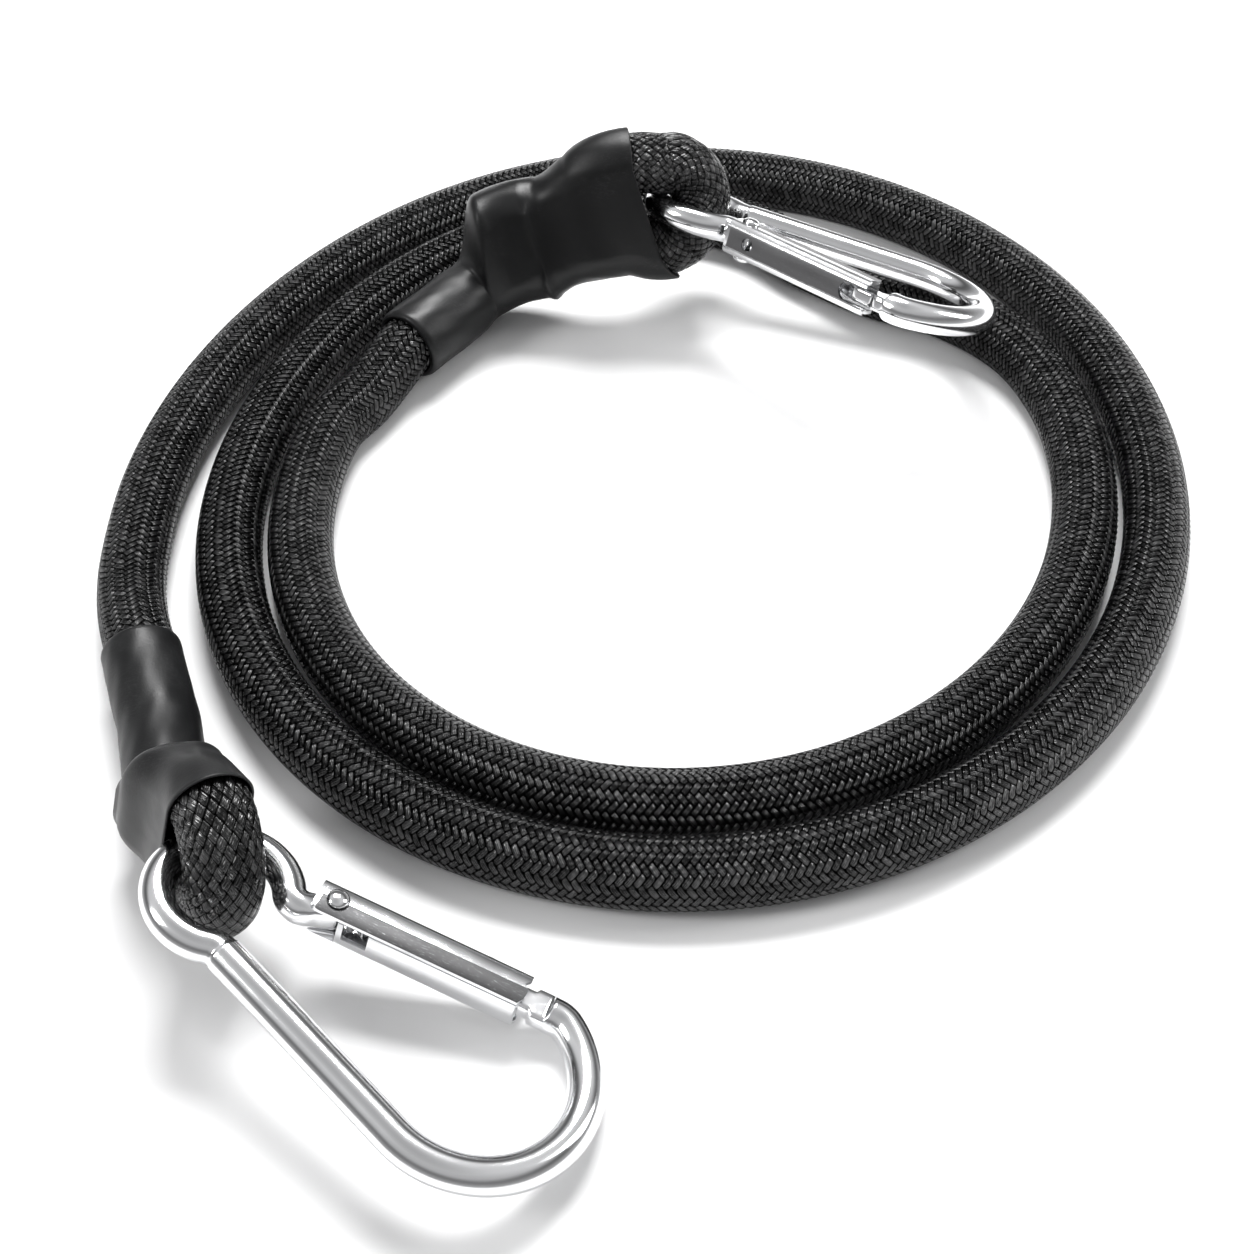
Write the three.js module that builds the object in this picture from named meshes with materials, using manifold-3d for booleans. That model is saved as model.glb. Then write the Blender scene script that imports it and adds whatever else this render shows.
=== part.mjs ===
// A bungee cord: a braided elastic cord laid in a little over two turns. Each end is folded back
// into an eye, clamped and covered by a shrunk sleeve, and each eye carries a snap hook.
// Lengths are in millimetres, angles in degrees, +Z is up, and the cord lies on Z = 0.

import * as THREE from 'three';
import { mergeVertices } from 'three/addons/utils/BufferGeometryUtils.js';
import Module from 'manifold-3d';

const wasm = await Module();
wasm.setup();

// Gaps between pieces, and the overrun of cuts
const runningGap = 0.3;
const cutOverrun = 1;

// The cord: a rubber core in a braided cover, pressed flat where it lies on the floor
const cord = {
  diameter: 12,
  coverWall: 1,
  coreGap: 0.68,
  flatShare: 0.1,
  coverSides: 12,
  coreSides: 8,
};
const cordRadius = cord.diameter / 2;
const boreRadius = cordRadius - cord.coverWall;
const coreRadius = boreRadius - cord.coreGap;
const floorAxisHeight = cordRadius - cord.flatShare * cord.diameter;

// The coil: a flat spiral that runs clockwise and inwards from the first hook's end
const coil = {
  firstTurn: 0.02,
  lastTurn: 2.09,
  stepsPerTurn: 30,
  startAngle: 202,
  radius: 98.7,
  pitch: 13.07,
  centreX: 6,
  centreY: 36,
  flare: 4.8,
  flareTurns: 0.128,
  dip: 13.8,
  dipTurn: 1.407,
  dipTurns: 0.055,
};
const coilWaves = [
  { perTurn: 1, size: 4.61, peakAngle: -21.2 },
  { perTurn: 2, size: 2.97, peakAngle: 129.5 },
  { perTurn: 3, size: 0.44, peakAngle: -89.2 },
];

// The eye that each end of the cord makes, its clamp band and its sleeve
const eye = {
  ringGap: 0.7,
  seat: 9.5,
  strandGap: 0.4,
  jointGap: 0.55,
  squareRun: 0.6,
  placesApart: 4,
  steps: 36,
  sides: 10,
};
const clamp = { wall: 0.6, width: 5, seatGap: 0.6, swell: 1.2, swellRun: 6 };
const sleeve = { wall: 0.7, seatGap: 1.2, slantRun: 12, overlap: 11.5, knobSetback: 3, knobRun: 8,
  step: 3, halfSides: 8 };
const sleeveRadius = cordRadius + sleeve.seatGap + sleeve.wall;

// The snap hook, in its own plane: x runs along it from the middle of its eye ring to its
// bend, y points to the gate, and z is square to the hook
const ring = { radius: 9.6, barRadius: 2.65, gateEnd: 47, spineEnd: 302, steps: 20 };
const bar = { radius: 2.85, notchRadius: 3.1, notchSteps: 3 };
const bend = { radius: 16.2, centreX: 45.5, centreY: 4, gateEnd: 70, steps: 14 };
const hinge = { x: 13.6, y: 9.2 };
const tang = { radius: 2, halfThickness: 2.3, tipReach: 1.95 };
const nose = { turnRadius: 4.2, turnSteps: 3, roundRun: 1, tongueHalf: 1.5, tongueHeight: 1.95,
  tongueReach: 7.2, shoulderRun: 0.6, holeRadius: 0.5, holeSetback: 3.6, holeSides: 8 };
const gateAngle = 16.2;
const hookSides = 12;

// The gate: a sheet folded nearly to a box that turns on a rivet, with a spring and its pin inside
const gate = { wall: 0.7, halfWidth: 3.35, outerFace: 3, innerFace: 3, eyeEnd: 3.2, noseEnd: 31,
  foldRadius: 1.2, cornerRadius: 1.4, scallop: 0.8, seam: 0.3, arcPoints: 6 };
const flap = { start: 1.6, windowStart: 2.5, windowEnd: 6.6, windowLow: -1.1 };
const peephole = { x: 2.3, radius: 1.3 };
const slot = { halfWidth: 1.85, start: 27 };
const stop = { x: 23.7, thickness: 0.8 };
const rivet = { radius: 0.9, headRadius: 1.7, headHeight: 0.9, headGap: 0.32, sides: 12 };
const pin = { headRadius: 1.75, headLength: 1.3, shankRadius: 1.05, shankLength: 7, sides: 10 };
const spring = { radius: 1.72, wireRadius: 0.25, curls: 10, stepsPerCurl: 8, sides: 5, endRun: 0.5 };
const boreGap = 0.33;

// Where the two ends lie. A lead's points go from the coil into the sleeve, and end in a straight
// run; a run's points go from the eye's lower strand to the lead's end. From the eye's bend, the
// sleeve's mouth starts at mouthRun and slants by mouthSlant, the clamp's middle lies at clampRun,
// the strands come together by closingRun, and the folded end lies on top up to tailRun.
const ends = [
  {
    name: '1', ring: [-59.3, -66.3, 16.6], heading: -37.1, dive: 10, roll: -13.3,
    eyeHeading: -64, eyeDive: 2.9, eyeLean: 16.5,
    mouthRun: 3.2, mouthSlant: -2.5, clampRun: 11, closingRun: 17, tailRun: 15,
    lead: [[-88.3, 3, 4.8], [-86.2, -4.5, 6], [-83.2, -12.4, 7.5], [-78.9, -24.2, 7.5]],
    run: [[-71.5, -46.7, 8.75], [-74.2, -38.8, 8.6]],
  },
  {
    name: '2', ring: [15.6, 94.6, 21.3], heading: -28.1, dive: 2.8, roll: 155.2,
    eyeHeading: 8, eyeDive: 17, eyeLean: 18,
    mouthRun: 2.3, mouthSlant: 9, clampRun: 14, closingRun: 20, tailRun: 31,
    lead: [[-51.8, 56, 4.8], [-47.9, 62.9, 6], [-44.4, 68.7, 7.5], [-37.4, 77.9, 7.5]],
    run: [[-8, 88.8, 16], [-16.5, 89, 13], [-24.5, 88.3, 10.3], [-30.9, 85.6, 8.4]],
  },
];

// The origin lies on the floor, under the middle of the box round hooks and sleeves
const middle = { x: -8.63, y: -1.4 };

const coverMaterial = new THREE.MeshStandardMaterial({ color: 0x101012, roughness: 0.55 });
const rubberMaterial = new THREE.MeshStandardMaterial({ color: 0x6b6256, roughness: 0.8 });
const sleeveMaterial = new THREE.MeshStandardMaterial({ color: 0x1b1c1e, roughness: 0.6 });
const polishedMaterial = new THREE.MeshStandardMaterial({ color: 0xd6d8da, roughness: 0.12, metalness: 1 });
const sheetMaterial = new THREE.MeshStandardMaterial({ color: 0xb9bbbd, roughness: 0.3, metalness: 1 });
const wireMaterial = new THREE.MeshStandardMaterial({ color: 0x9a9c9e, roughness: 0.35, metalness: 1 });

const radians = THREE.MathUtils.degToRad;
const up = new THREE.Vector3(0, 0, 1);
const bungee = new THREE.Group();
bungee.position.set(-middle.x, -middle.y, 0);

function addMesh(name, geometry, material, parent) {
  const mesh = new THREE.Mesh(geometry, material);
  mesh.name = name;
  parent.add(mesh);
  return mesh;
}

function smooth(share) {
  const t = THREE.MathUtils.clamp(share, 0, 1);
  return t * t * (3 - 2 * t);
}

// Makes a geometry of points and triangles, with its faces turned outwards
function closedGeometry(points, faces) {
  const corner = new THREE.Vector3();
  let volume = 0;
  for (const [a, b, c] of faces) {
    volume += points[a].dot(corner.crossVectors(points[b], points[c]));
  }
  const outward = volume > 0 ? faces : faces.map(([a, b, c]) => [a, c, b]);
  const geometry = new THREE.BufferGeometry();
  geometry.setAttribute('position', new THREE.Float32BufferAttribute(points.flatMap((p) => p.toArray()), 3));
  geometry.setIndex(outward.flat());
  geometry.computeVertexNormals();
  return geometry;
}

// The triangles between two rings of the same number of points
function band(first, second, count) {
  const faces = [];
  for (let i = 0; i < count; i += 1) {
    const next = (i + 1) % count;
    faces.push([first + i, first + next, second + next], [first + i, second + next, second + i]);
  }
  return faces;
}

// A rod through rings of points, closed by a flat face at each end
function rod(rings) {
  const count = rings[0].length;
  const faces = [];
  for (let i = 0; i + 1 < rings.length; i += 1) {
    faces.push(...band(i * count, (i + 1) * count, count));
  }
  const last = (rings.length - 1) * count;
  for (let i = 1; i + 1 < count; i += 1) {
    faces.push([0, i + 1, i], [last, last + i, last + i + 1]);
  }
  return closedGeometry(rings.flat(), faces);
}

// An open-ended tube between outer and inner rings of points
function tube(outer, inner) {
  const count = outer[0].length;
  const rings = [...outer, ...inner.toReversed()];
  const faces = [];
  for (let i = 0; i < rings.length; i += 1) {
    faces.push(...band(i * count, ((i + 1) % rings.length) * count, count));
  }
  return closedGeometry(rings.flat(), faces);
}

// Points along a path with the directions square to it, the second one turned upwards
function framesAlong(points) {
  return points.map((point, i) => {
    const ahead = points[Math.min(i + 1, points.length - 1)];
    const behind = points[Math.max(i - 1, 0)];
    const along = ahead.clone().sub(behind).normalize();
    const side = new THREE.Vector3().crossVectors(along, up).normalize();
    return { point, along, side, lift: new THREE.Vector3().crossVectors(side, along) };
  });
}

// A round section whose lowest part is pressed flat at the given height above the floor
function strandRing(frame, radius, flatHeight, sides) {
  const drop = Math.min(1, (frame.point.z - flatHeight) / radius);
  const flatAngle = Math.max(Math.acos(drop), Math.PI / sides);
  return Array.from({ length: sides }, (_, i) => {
    const angle = -Math.PI / 2 + flatAngle + (i / (sides - 1)) * (2 * Math.PI - 2 * flatAngle);
    return frame.point.clone()
      .addScaledVector(frame.side, radius * Math.cos(angle))
      .addScaledVector(frame.lift, radius * Math.sin(angle));
  });
}

// The least distance between points that lie apart along a path, less the diameter
function leastGap(points, diameter, pointsApart) {
  let least = Infinity;
  for (let i = 0; i < points.length; i += 1) {
    for (let j = i + pointsApart; j < points.length; j += 1) {
      least = Math.min(least, points[i].distanceTo(points[j]));
    }
  }
  return least - diameter;
}

function coilRadius(turn) {
  const angle = radians(coil.startAngle) - 2 * Math.PI * turn;
  const waves = coilWaves.reduce((sum, wave) => (
    sum + wave.size * Math.cos(wave.perTurn * angle - radians(wave.peakAngle))), 0);
  const flare = coil.flare * Math.exp(-turn / coil.flareTurns);
  const dip = coil.dip * Math.exp(-(((turn - coil.dipTurn) / coil.dipTurns) ** 2));
  return coil.radius - coil.pitch * turn + waves + flare - dip;
}

function coilPoint(turn) {
  const angle = radians(coil.startAngle) - 2 * Math.PI * turn;
  const radius = coilRadius(turn);
  return new THREE.Vector3(
    coil.centreX + radius * Math.cos(angle), coil.centreY + radius * Math.sin(angle), floorAxisHeight);
}

const toPoints = (places) => places.map((place) => new THREE.Vector3(...place));

// The coil's turns by formula, with each end's lead into its sleeve
function coilPath() {
  const turns = coil.lastTurn - coil.firstTurn;
  const steps = Math.round(turns * coil.stepsPerTurn);
  const wound = Array.from({ length: steps + 1 }, (_, i) => (
    coilPoint(coil.firstTurn + (i / steps) * turns)));
  return [...toPoints(ends[0].lead).reverse(), ...wound, ...toPoints(ends[1].lead)];
}

function buildCord(path) {
  const frames = framesAlong(path);
  const coverRings = frames.map((f) => strandRing(f, cordRadius, 0, cord.coverSides));
  const boreRings = frames.map((f) => strandRing(f, boreRadius, cord.coverWall, cord.coverSides));
  const coreFloor = cord.coverWall + cord.coreGap;
  const coreRings = frames.map((f) => strandRing(f, coreRadius, coreFloor, cord.coreSides));
  addMesh('cord_cover', tube(coverRings, boreRings), coverMaterial, bungee);
  addMesh('cord_core', rod(coreRings), rubberMaterial, bungee);
  const gap = leastGap(path, cord.diameter, Math.round(coil.stepsPerTurn / 2));
  console.log(`coil: least gap to itself ${gap.toFixed(2)} mm`);
}

// The directions of an eye's bend: outwards along it, and from its lower to its upper strand
function eyeAxes(end) {
  const heading = radians(end.eyeHeading);
  const dive = radians(end.eyeDive);
  const lean = radians(end.eyeLean);
  const outward = new THREE.Vector3(
    Math.cos(heading) * Math.cos(dive), Math.sin(heading) * Math.cos(dive), -Math.sin(dive));
  const left = new THREE.Vector3(-Math.sin(heading), Math.cos(heading), 0);
  const across = new THREE.Vector3().crossVectors(outward, left).multiplyScalar(Math.cos(lean))
    .addScaledVector(left, Math.sin(lean));
  return { outward, across };
}

const eyeHalfGap = cordRadius + ring.barRadius + eye.ringGap;
const closedStrands = cord.diameter + eye.strandGap;
const jointShare = 0.8;

// The lower strand from the eye's bend to the coil, and the strand folded back on top of it
function strandPaths(end) {
  const { outward, across } = eyeAxes(end);
  const bendMiddle = new THREE.Vector3(...end.ring).addScaledVector(outward, -eye.seat);
  const start = bendMiddle.clone().addScaledVector(across, -eyeHalfGap);
  const [leadStart, joint] = toPoints(end.lead.slice(-2));
  const straight = joint.clone().sub(leadStart).normalize();
  const points = [
    start,
    start.clone().addScaledVector(outward, -eye.seat / 2),
    ...toPoints(end.run),
    joint.clone().addScaledVector(straight, cordRadius * jointShare),
    joint,
    leadStart,
  ];
  const curve = new THREE.CatmullRomCurve3(points, false, 'centripetal');
  curve.arcLengthDivisions = 400;
  const length = curve.getLength();
  const jointRun = length - points.at(-1).distanceTo(points.at(-2));
  const lower = (run) => curve.getPointAt(Math.min(1, run / length));
  const stack = (run) => {
    const along = curve.getTangentAt(Math.min(1, run / length));
    return across.clone().addScaledVector(along, -across.dot(along)).normalize();
  };
  const spread = (run) => closedStrands
    + (2 * eyeHalfGap - closedStrands) * (1 - smooth(run / end.closingRun));
  const upper = (run) => lower(run).addScaledVector(stack(run), spread(run));
  const aslant = (sleeveRun) => {
    const run = Math.min(sleeveRun, end.tailRun);
    const upperAlong = upper(run + eye.squareRun).sub(upper(run)).normalize();
    return cordRadius * (1 / upperAlong.dot(curve.getTangentAt(run / length)) - 1);
  };
  return { outward, across, bendMiddle, curve, length, jointRun, lower, upper, stack, spread, aslant };
}

// The whole centreline of an eye: in along the lower strand, round the bend, back on top
function eyePath(end, paths) {
  const places = [];
  const lowerStart = paths.jointRun - eye.jointGap;
  const lowerSteps = Math.round(lowerStart / eye.placesApart);
  places.push(paths.lower(lowerStart), paths.lower(lowerStart - eye.squareRun));
  for (let i = 1; i < lowerSteps; i += 1) {
    places.push(paths.lower(lowerStart * (1 - i / lowerSteps)));
  }
  const bendSteps = 8;
  for (let i = 0; i <= bendSteps; i += 1) {
    const angle = (i / bendSteps) * Math.PI;
    places.push(paths.bendMiddle.clone()
      .addScaledVector(paths.across, -eyeHalfGap * Math.cos(angle))
      .addScaledVector(paths.outward, eyeHalfGap * Math.sin(angle)));
  }
  const tailSteps = Math.round(end.tailRun / eye.placesApart);
  for (let i = 1; i <= tailSteps; i += 1) {
    const run = end.tailRun * (i / tailSteps);
    places.push(paths.upper(run));
  }
  return new THREE.CatmullRomCurve3(places, false, 'centripetal');
}

function circlePoints(radius, sides) {
  return Array.from({ length: sides }, (_, i) => {
    const angle = ((i + 0.5) / sides) * 2 * Math.PI;
    return new THREE.Vector2(radius * Math.cos(angle), radius * Math.sin(angle));
  });
}

function buildEye(end, paths) {
  const path = eyePath(end, paths);
  const cover = new THREE.Shape(circlePoints(cordRadius, eye.sides));
  cover.holes.push(new THREE.Path(circlePoints(boreRadius, eye.sides)));
  const options = { steps: eye.steps, bevelEnabled: false, extrudePath: path };
  addMesh(`eye_cover_${end.name}`, new THREE.ExtrudeGeometry(cover, options), coverMaterial, bungee);
  const core = new THREE.Shape(circlePoints(coreRadius, cord.coreSides));
  addMesh(`eye_core_${end.name}`, new THREE.ExtrudeGeometry(core, options), rubberMaterial, bungee);
}

// One ring of points round both strands, at a distance along the lower one
function wrapRing(paths, run, upperOffset, radius, halfPoints, slide = 0) {
  const centre = paths.lower(run);
  const lift = paths.stack(run);
  const along = paths.curve.getTangentAt(Math.min(1, run / paths.length));
  const side = new THREE.Vector3().crossVectors(along, lift);
  return Array.from({ length: 2 * halfPoints }, (_, i) => {
    const angle = -Math.PI / 2 + ((i + 0.5) / halfPoints) * Math.PI;
    const offset = i < halfPoints ? upperOffset : 0;
    const slant = i < halfPoints ? slide / 2 : -slide / 2;
    return centre.clone()
      .addScaledVector(along, slant)
      .addScaledVector(side, radius * Math.sin(angle))
      .addScaledVector(lift, radius * Math.cos(angle) + offset);
  });
}

// Keeps rings of points at or above a height, where something lies on the floor
function raise(rings, least) {
  rings.flat().forEach((point) => point.setZ(Math.max(point.z, least)));
}

function buildSleeve(end, paths) {
  const first = end.mouthRun;
  const last = paths.jointRun + sleeve.overlap;
  const steps = Math.round((last - first) / sleeve.step);
  const outer = [];
  const inner = [];
  for (let i = 0; i <= steps; i += 1) {
    const run = first + (last - first) * (i / steps);
    const knob = 1 - smooth((run - end.tailRun - sleeve.knobSetback) / sleeve.knobRun);
    const nearClamp = Math.abs(run - end.clampRun) - clamp.width / 2;
    const swell = clamp.swell * (1 - smooth(nearClamp / clamp.swellRun)) + knob * paths.aslant(run);
    const offset = paths.spread(run) * knob;
    const slide = end.mouthSlant * (1 - smooth((run - first) / sleeve.slantRun));
    outer.push(wrapRing(paths, run, offset, sleeveRadius + swell, sleeve.halfSides, slide));
    inner.push(wrapRing(paths, run, offset, sleeveRadius - sleeve.wall + swell, sleeve.halfSides, slide));
  }
  raise(outer, 0);
  raise(inner, sleeve.wall);
  addMesh(`sleeve_${end.name}`, tube(outer, inner), sleeveMaterial, bungee);
}

function buildClamp(end, paths) {
  const inside = cordRadius + clamp.seatGap;
  const runs = [end.clampRun - clamp.width / 2, end.clampRun, end.clampRun + clamp.width / 2];
  const rings = (radius) => runs.map((run) => (
    wrapRing(paths, run, paths.spread(run), radius + paths.aslant(run), sleeve.halfSides)));
  const outer = rings(inside + clamp.wall);
  const inner = rings(inside);
  raise(outer, sleeve.wall + runningGap);
  raise(inner, sleeve.wall + runningGap + clamp.wall);
  addMesh(`clamp_band_${end.name}`, tube(outer, inner), wireMaterial, bungee);
}

// Stations along an arc in the hook's plane, the first one left out
function arcStations(centre, radius, fromAngle, toAngle, steps) {
  const sense = Math.sign(toAngle - fromAngle);
  return Array.from({ length: steps }, (_, i) => {
    const angle = radians(fromAngle + (toAngle - fromAngle) * ((i + 1) / steps));
    return {
      x: centre.x + radius * Math.cos(angle),
      y: centre.y + radius * Math.sin(angle),
      heading: angle + sense * (Math.PI / 2),
    };
  });
}

function lineStation(from, heading, distance) {
  return {
    x: from.x + distance * Math.cos(heading),
    y: from.y + distance * Math.sin(heading),
    heading,
  };
}

function onRing(angle, radius) {
  return { x: radius * Math.cos(radians(angle)), y: radius * Math.sin(radians(angle)) };
}

const degrees = THREE.MathUtils.radToDeg;

// The bar's centreline from the tang round the ring, down the spine and round the bend
function hookStations() {
  const section = (station, halfWidth, halfThickness, squareness) => (
    { ...station, halfWidth, halfThickness, squareness });
  const stations = [];

  const gateNotch = onRing(ring.gateEnd, ring.radius + bar.notchRadius);
  const toNotch = Math.atan2(gateNotch.y - hinge.y, gateNotch.x - hinge.x);
  const notchDistance = Math.hypot(gateNotch.x - hinge.x, gateNotch.y - hinge.y);
  const neckHeading = toNotch + Math.asin(bar.notchRadius / notchDistance);
  const neckLength = Math.sqrt(notchDistance ** 2 - bar.notchRadius ** 2);
  for (const reach of [tang.tipReach, tang.radius * Math.SQRT1_2]) {
    const halfWidth = Math.sqrt(tang.radius ** 2 - reach ** 2);
    stations.push(section(lineStation(hinge, neckHeading, -reach), halfWidth, tang.halfThickness, 4));
  }
  stations.push(section(lineStation(hinge, neckHeading, 0), tang.radius, tang.halfThickness, 4));
  const neckEnd = lineStation(hinge, neckHeading, neckLength);
  stations.push(section(neckEnd, tang.radius, tang.halfThickness, 3));

  const neckAngle = degrees(Math.atan2(neckEnd.y - gateNotch.y, neckEnd.x - gateNotch.x));
  const ringStart = ring.gateEnd + 180;
  const neckFrom = neckAngle < 0 ? neckAngle + 360 : neckAngle;
  arcStations(gateNotch, bar.notchRadius, neckFrom, ringStart, bar.notchSteps).forEach((station) => {
    stations.push(section(station, ring.barRadius, ring.barRadius, 2));
  });
  arcStations({ x: 0, y: 0 }, ring.radius, ring.gateEnd, ring.spineEnd, ring.steps)
    .forEach((station) => stations.push(section(station, ring.barRadius, ring.barRadius, 2)));

  const spineNotch = onRing(ring.spineEnd, ring.radius + bar.notchRadius);
  const bendCentre = { x: bend.centreX, y: bend.centreY };
  const apart = Math.hypot(bendCentre.x - spineNotch.x, bendCentre.y - spineNotch.y);
  const spineHeading = Math.atan2(bendCentre.y - spineNotch.y, bendCentre.x - spineNotch.x)
    - Math.asin((bar.notchRadius + bend.radius) / apart);
  const spineDegrees = degrees(spineHeading);
  arcStations(spineNotch, bar.notchRadius, ring.spineEnd - 180, spineDegrees + 90, bar.notchSteps)
    .forEach((station) => stations.push(section(station, bar.radius, bar.radius, 2)));
  const spineStart = stations.at(-1);
  const spineLength = Math.sqrt(apart ** 2 - (bar.notchRadius + bend.radius) ** 2);
  for (const share of [1 / 2, 1]) {
    const station = lineStation(spineStart, spineHeading, spineLength * share);
    stations.push(section(station, bar.radius, bar.radius, 2));
  }
  arcStations(bendCentre, bend.radius, spineDegrees - 90, bend.gateEnd, bend.steps)
    .forEach((station) => stations.push(section(station, bar.radius, bar.radius, 2)));

  const noseHeading = gateAngle + 180;
  const turnCentre = onRing(bend.gateEnd, bend.radius - nose.turnRadius);
  turnCentre.x += bend.centreX;
  turnCentre.y += bend.centreY;
  arcStations(turnCentre, nose.turnRadius, bend.gateEnd, noseHeading - 90, nose.turnSteps)
    .forEach((station) => stations.push(section(station, bar.radius, bar.radius, 2)));
  const turnEnd = stations.at(-1);
  const heading = radians(noseHeading);
  stations.push(section(lineStation(turnEnd, heading, nose.roundRun), bar.radius, bar.radius, 2));
  const tongueStart = nose.roundRun + nose.shoulderRun;
  for (const reach of [tongueStart, tongueStart + nose.tongueReach]) {
    const station = lineStation(turnEnd, heading, reach);
    stations.push(section(station, nose.tongueHeight, nose.tongueHalf, 5));
  }
  return stations;
}

// A section that goes from round to square-shouldered as its squareness goes up from 2
function hookRing(station) {
  const normal = new THREE.Vector3(-Math.sin(station.heading), Math.cos(station.heading), 0);
  return Array.from({ length: hookSides }, (_, i) => {
    const angle = ((i + 0.5) / hookSides) * 2 * Math.PI;
    const bulge = (value) => Math.sign(value) * Math.abs(value) ** (2 / station.squareness);
    return new THREE.Vector3(station.x, station.y, 0)
      .addScaledVector(normal, station.halfWidth * bulge(Math.cos(angle)))
      .addScaledVector(up, station.halfThickness * bulge(Math.sin(angle)));
  });
}

function toManifold(geometry) {
  const bare = geometry.clone();
  bare.deleteAttribute('normal');
  bare.deleteAttribute('uv');
  const merged = mergeVertices(bare);
  return new wasm.Manifold(new wasm.Mesh({
    numProp: 3,
    vertProperties: new Float32Array(merged.attributes.position.array),
    triVerts: new Uint32Array(merged.index.array),
  }));
}

function fromManifold(solid) {
  const mesh = solid.getMesh();
  const geometry = new THREE.BufferGeometry();
  geometry.setAttribute('position', new THREE.BufferAttribute(new Float32Array(mesh.vertProperties), 3));
  geometry.setIndex(new THREE.BufferAttribute(new Uint32Array(mesh.triVerts), 1));
  geometry.computeVertexNormals();
  return geometry;
}

// A cylinder along one axis, for holes
function cutter(radius, length, axis, place, sides = 16) {
  const geometry = new THREE.CylinderGeometry(radius, radius, length, sides);
  if (axis === 'z') geometry.rotateX(Math.PI / 2);
  geometry.translate(place.x ?? 0, place.y ?? 0, place.z ?? 0);
  return toManifold(geometry);
}

function block([lowX, highX], [lowY, highY], [lowZ, highZ]) {
  const geometry = new THREE.BoxGeometry(highX - lowX, highY - lowY, highZ - lowZ);
  geometry.translate((lowX + highX) / 2, (lowY + highY) / 2, (lowZ + highZ) / 2);
  return toManifold(geometry);
}

function hookFrameGeometry() {
  const stations = hookStations();
  const solid = toManifold(rod(stations.map(hookRing)));
  const holeRadius = rivet.radius + boreGap;
  const rivetHole = cutter(holeRadius, 2 * (bar.radius + cutOverrun), 'z', hinge);
  const tip = stations.at(-1);
  const noseHole = lineStation(tip, tip.heading, -nose.holeSetback);
  const smallHole = cutter(nose.holeRadius, 2 * (bar.radius + cutOverrun), 'z', noseHole,
    nose.holeSides);
  return fromManifold(solid.subtract(rivetHole).subtract(smallHole));
}

// An arc of outline points from one angle to another
function corner(x, y, radius, fromAngle, toAngle) {
  return Array.from({ length: gate.arcPoints }, (_, i) => {
    const angle = radians(fromAngle + (toAngle - fromAngle) * (i / (gate.arcPoints - 1)));
    return new THREE.Vector2(x + radius * Math.cos(angle), y + radius * Math.sin(angle));
  });
}

const gateInside = gate.halfWidth - gate.wall;

// The folded sheet, as long as the gate. Its two edges meet in a seam on the hook's inner side,
// where one wall's edge stands beside the flap that is folded over from the other wall
function gateChannel() {
  const innerFold = gate.foldRadius - gate.wall;
  const webInside = gate.outerFace - gate.wall;
  const flapInside = gate.wall - gate.innerFace;
  const flapEnd = gate.seam - gateInside;
  const points = [
    ...corner(gate.halfWidth - gate.foldRadius, gate.outerFace - gate.foldRadius, gate.foldRadius, 0, 90),
    ...corner(gate.foldRadius - gate.halfWidth, gate.outerFace - gate.foldRadius, gate.foldRadius, 90, 180),
    new THREE.Vector2(-gate.halfWidth, -gate.innerFace),
    new THREE.Vector2(-gateInside, -gate.innerFace),
    ...corner(innerFold - gateInside, webInside - innerFold, innerFold, 180, 90),
    ...corner(gateInside - innerFold, webInside - innerFold, innerFold, 90, 0),
    ...corner(gateInside - innerFold, flapInside + innerFold, innerFold, 0, -90),
    new THREE.Vector2(flapEnd, flapInside),
    new THREE.Vector2(flapEnd, -gate.innerFace),
    ...corner(gate.halfWidth - gate.foldRadius, gate.foldRadius - gate.innerFace, gate.foldRadius, -90, 0),
  ];
  const length = gate.eyeEnd + gate.noseEnd;
  const geometry = new THREE.ExtrudeGeometry(new THREE.Shape(points), { depth: length, bevelEnabled: false });
  geometry.rotateY(Math.PI / 2);
  geometry.translate(-gate.eyeEnd, 0, 0);
  return toManifold(geometry);
}

// The gate seen from the side: round at the eye end and scalloped at the nose
function gateSide() {
  const top = gate.outerFace + cutOverrun;
  const points = [
    new THREE.Vector2(gate.noseEnd, top),
    new THREE.Vector2(gate.noseEnd, gate.outerFace / 2),
    new THREE.Vector2(gate.noseEnd - gate.scallop, gate.outerFace / 2 - gate.scallop),
    new THREE.Vector2(gate.noseEnd, gate.outerFace / 2 - 2 * gate.scallop),
    new THREE.Vector2(gate.noseEnd, gate.cornerRadius - gate.innerFace),
    new THREE.Vector2(gate.noseEnd - gate.cornerRadius / 2, -gate.innerFace),
    ...corner(gate.cornerRadius - gate.eyeEnd, gate.cornerRadius - gate.innerFace, gate.cornerRadius, 270, 180),
    new THREE.Vector2(-gate.eyeEnd, top),
  ];
  const depth = 2 * (gate.halfWidth + cutOverrun);
  const geometry = new THREE.ExtrudeGeometry(new THREE.Shape(points), { depth, bevelEnabled: false });
  geometry.translate(0, 0, -depth / 2);
  return toManifold(geometry);
}

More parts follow.
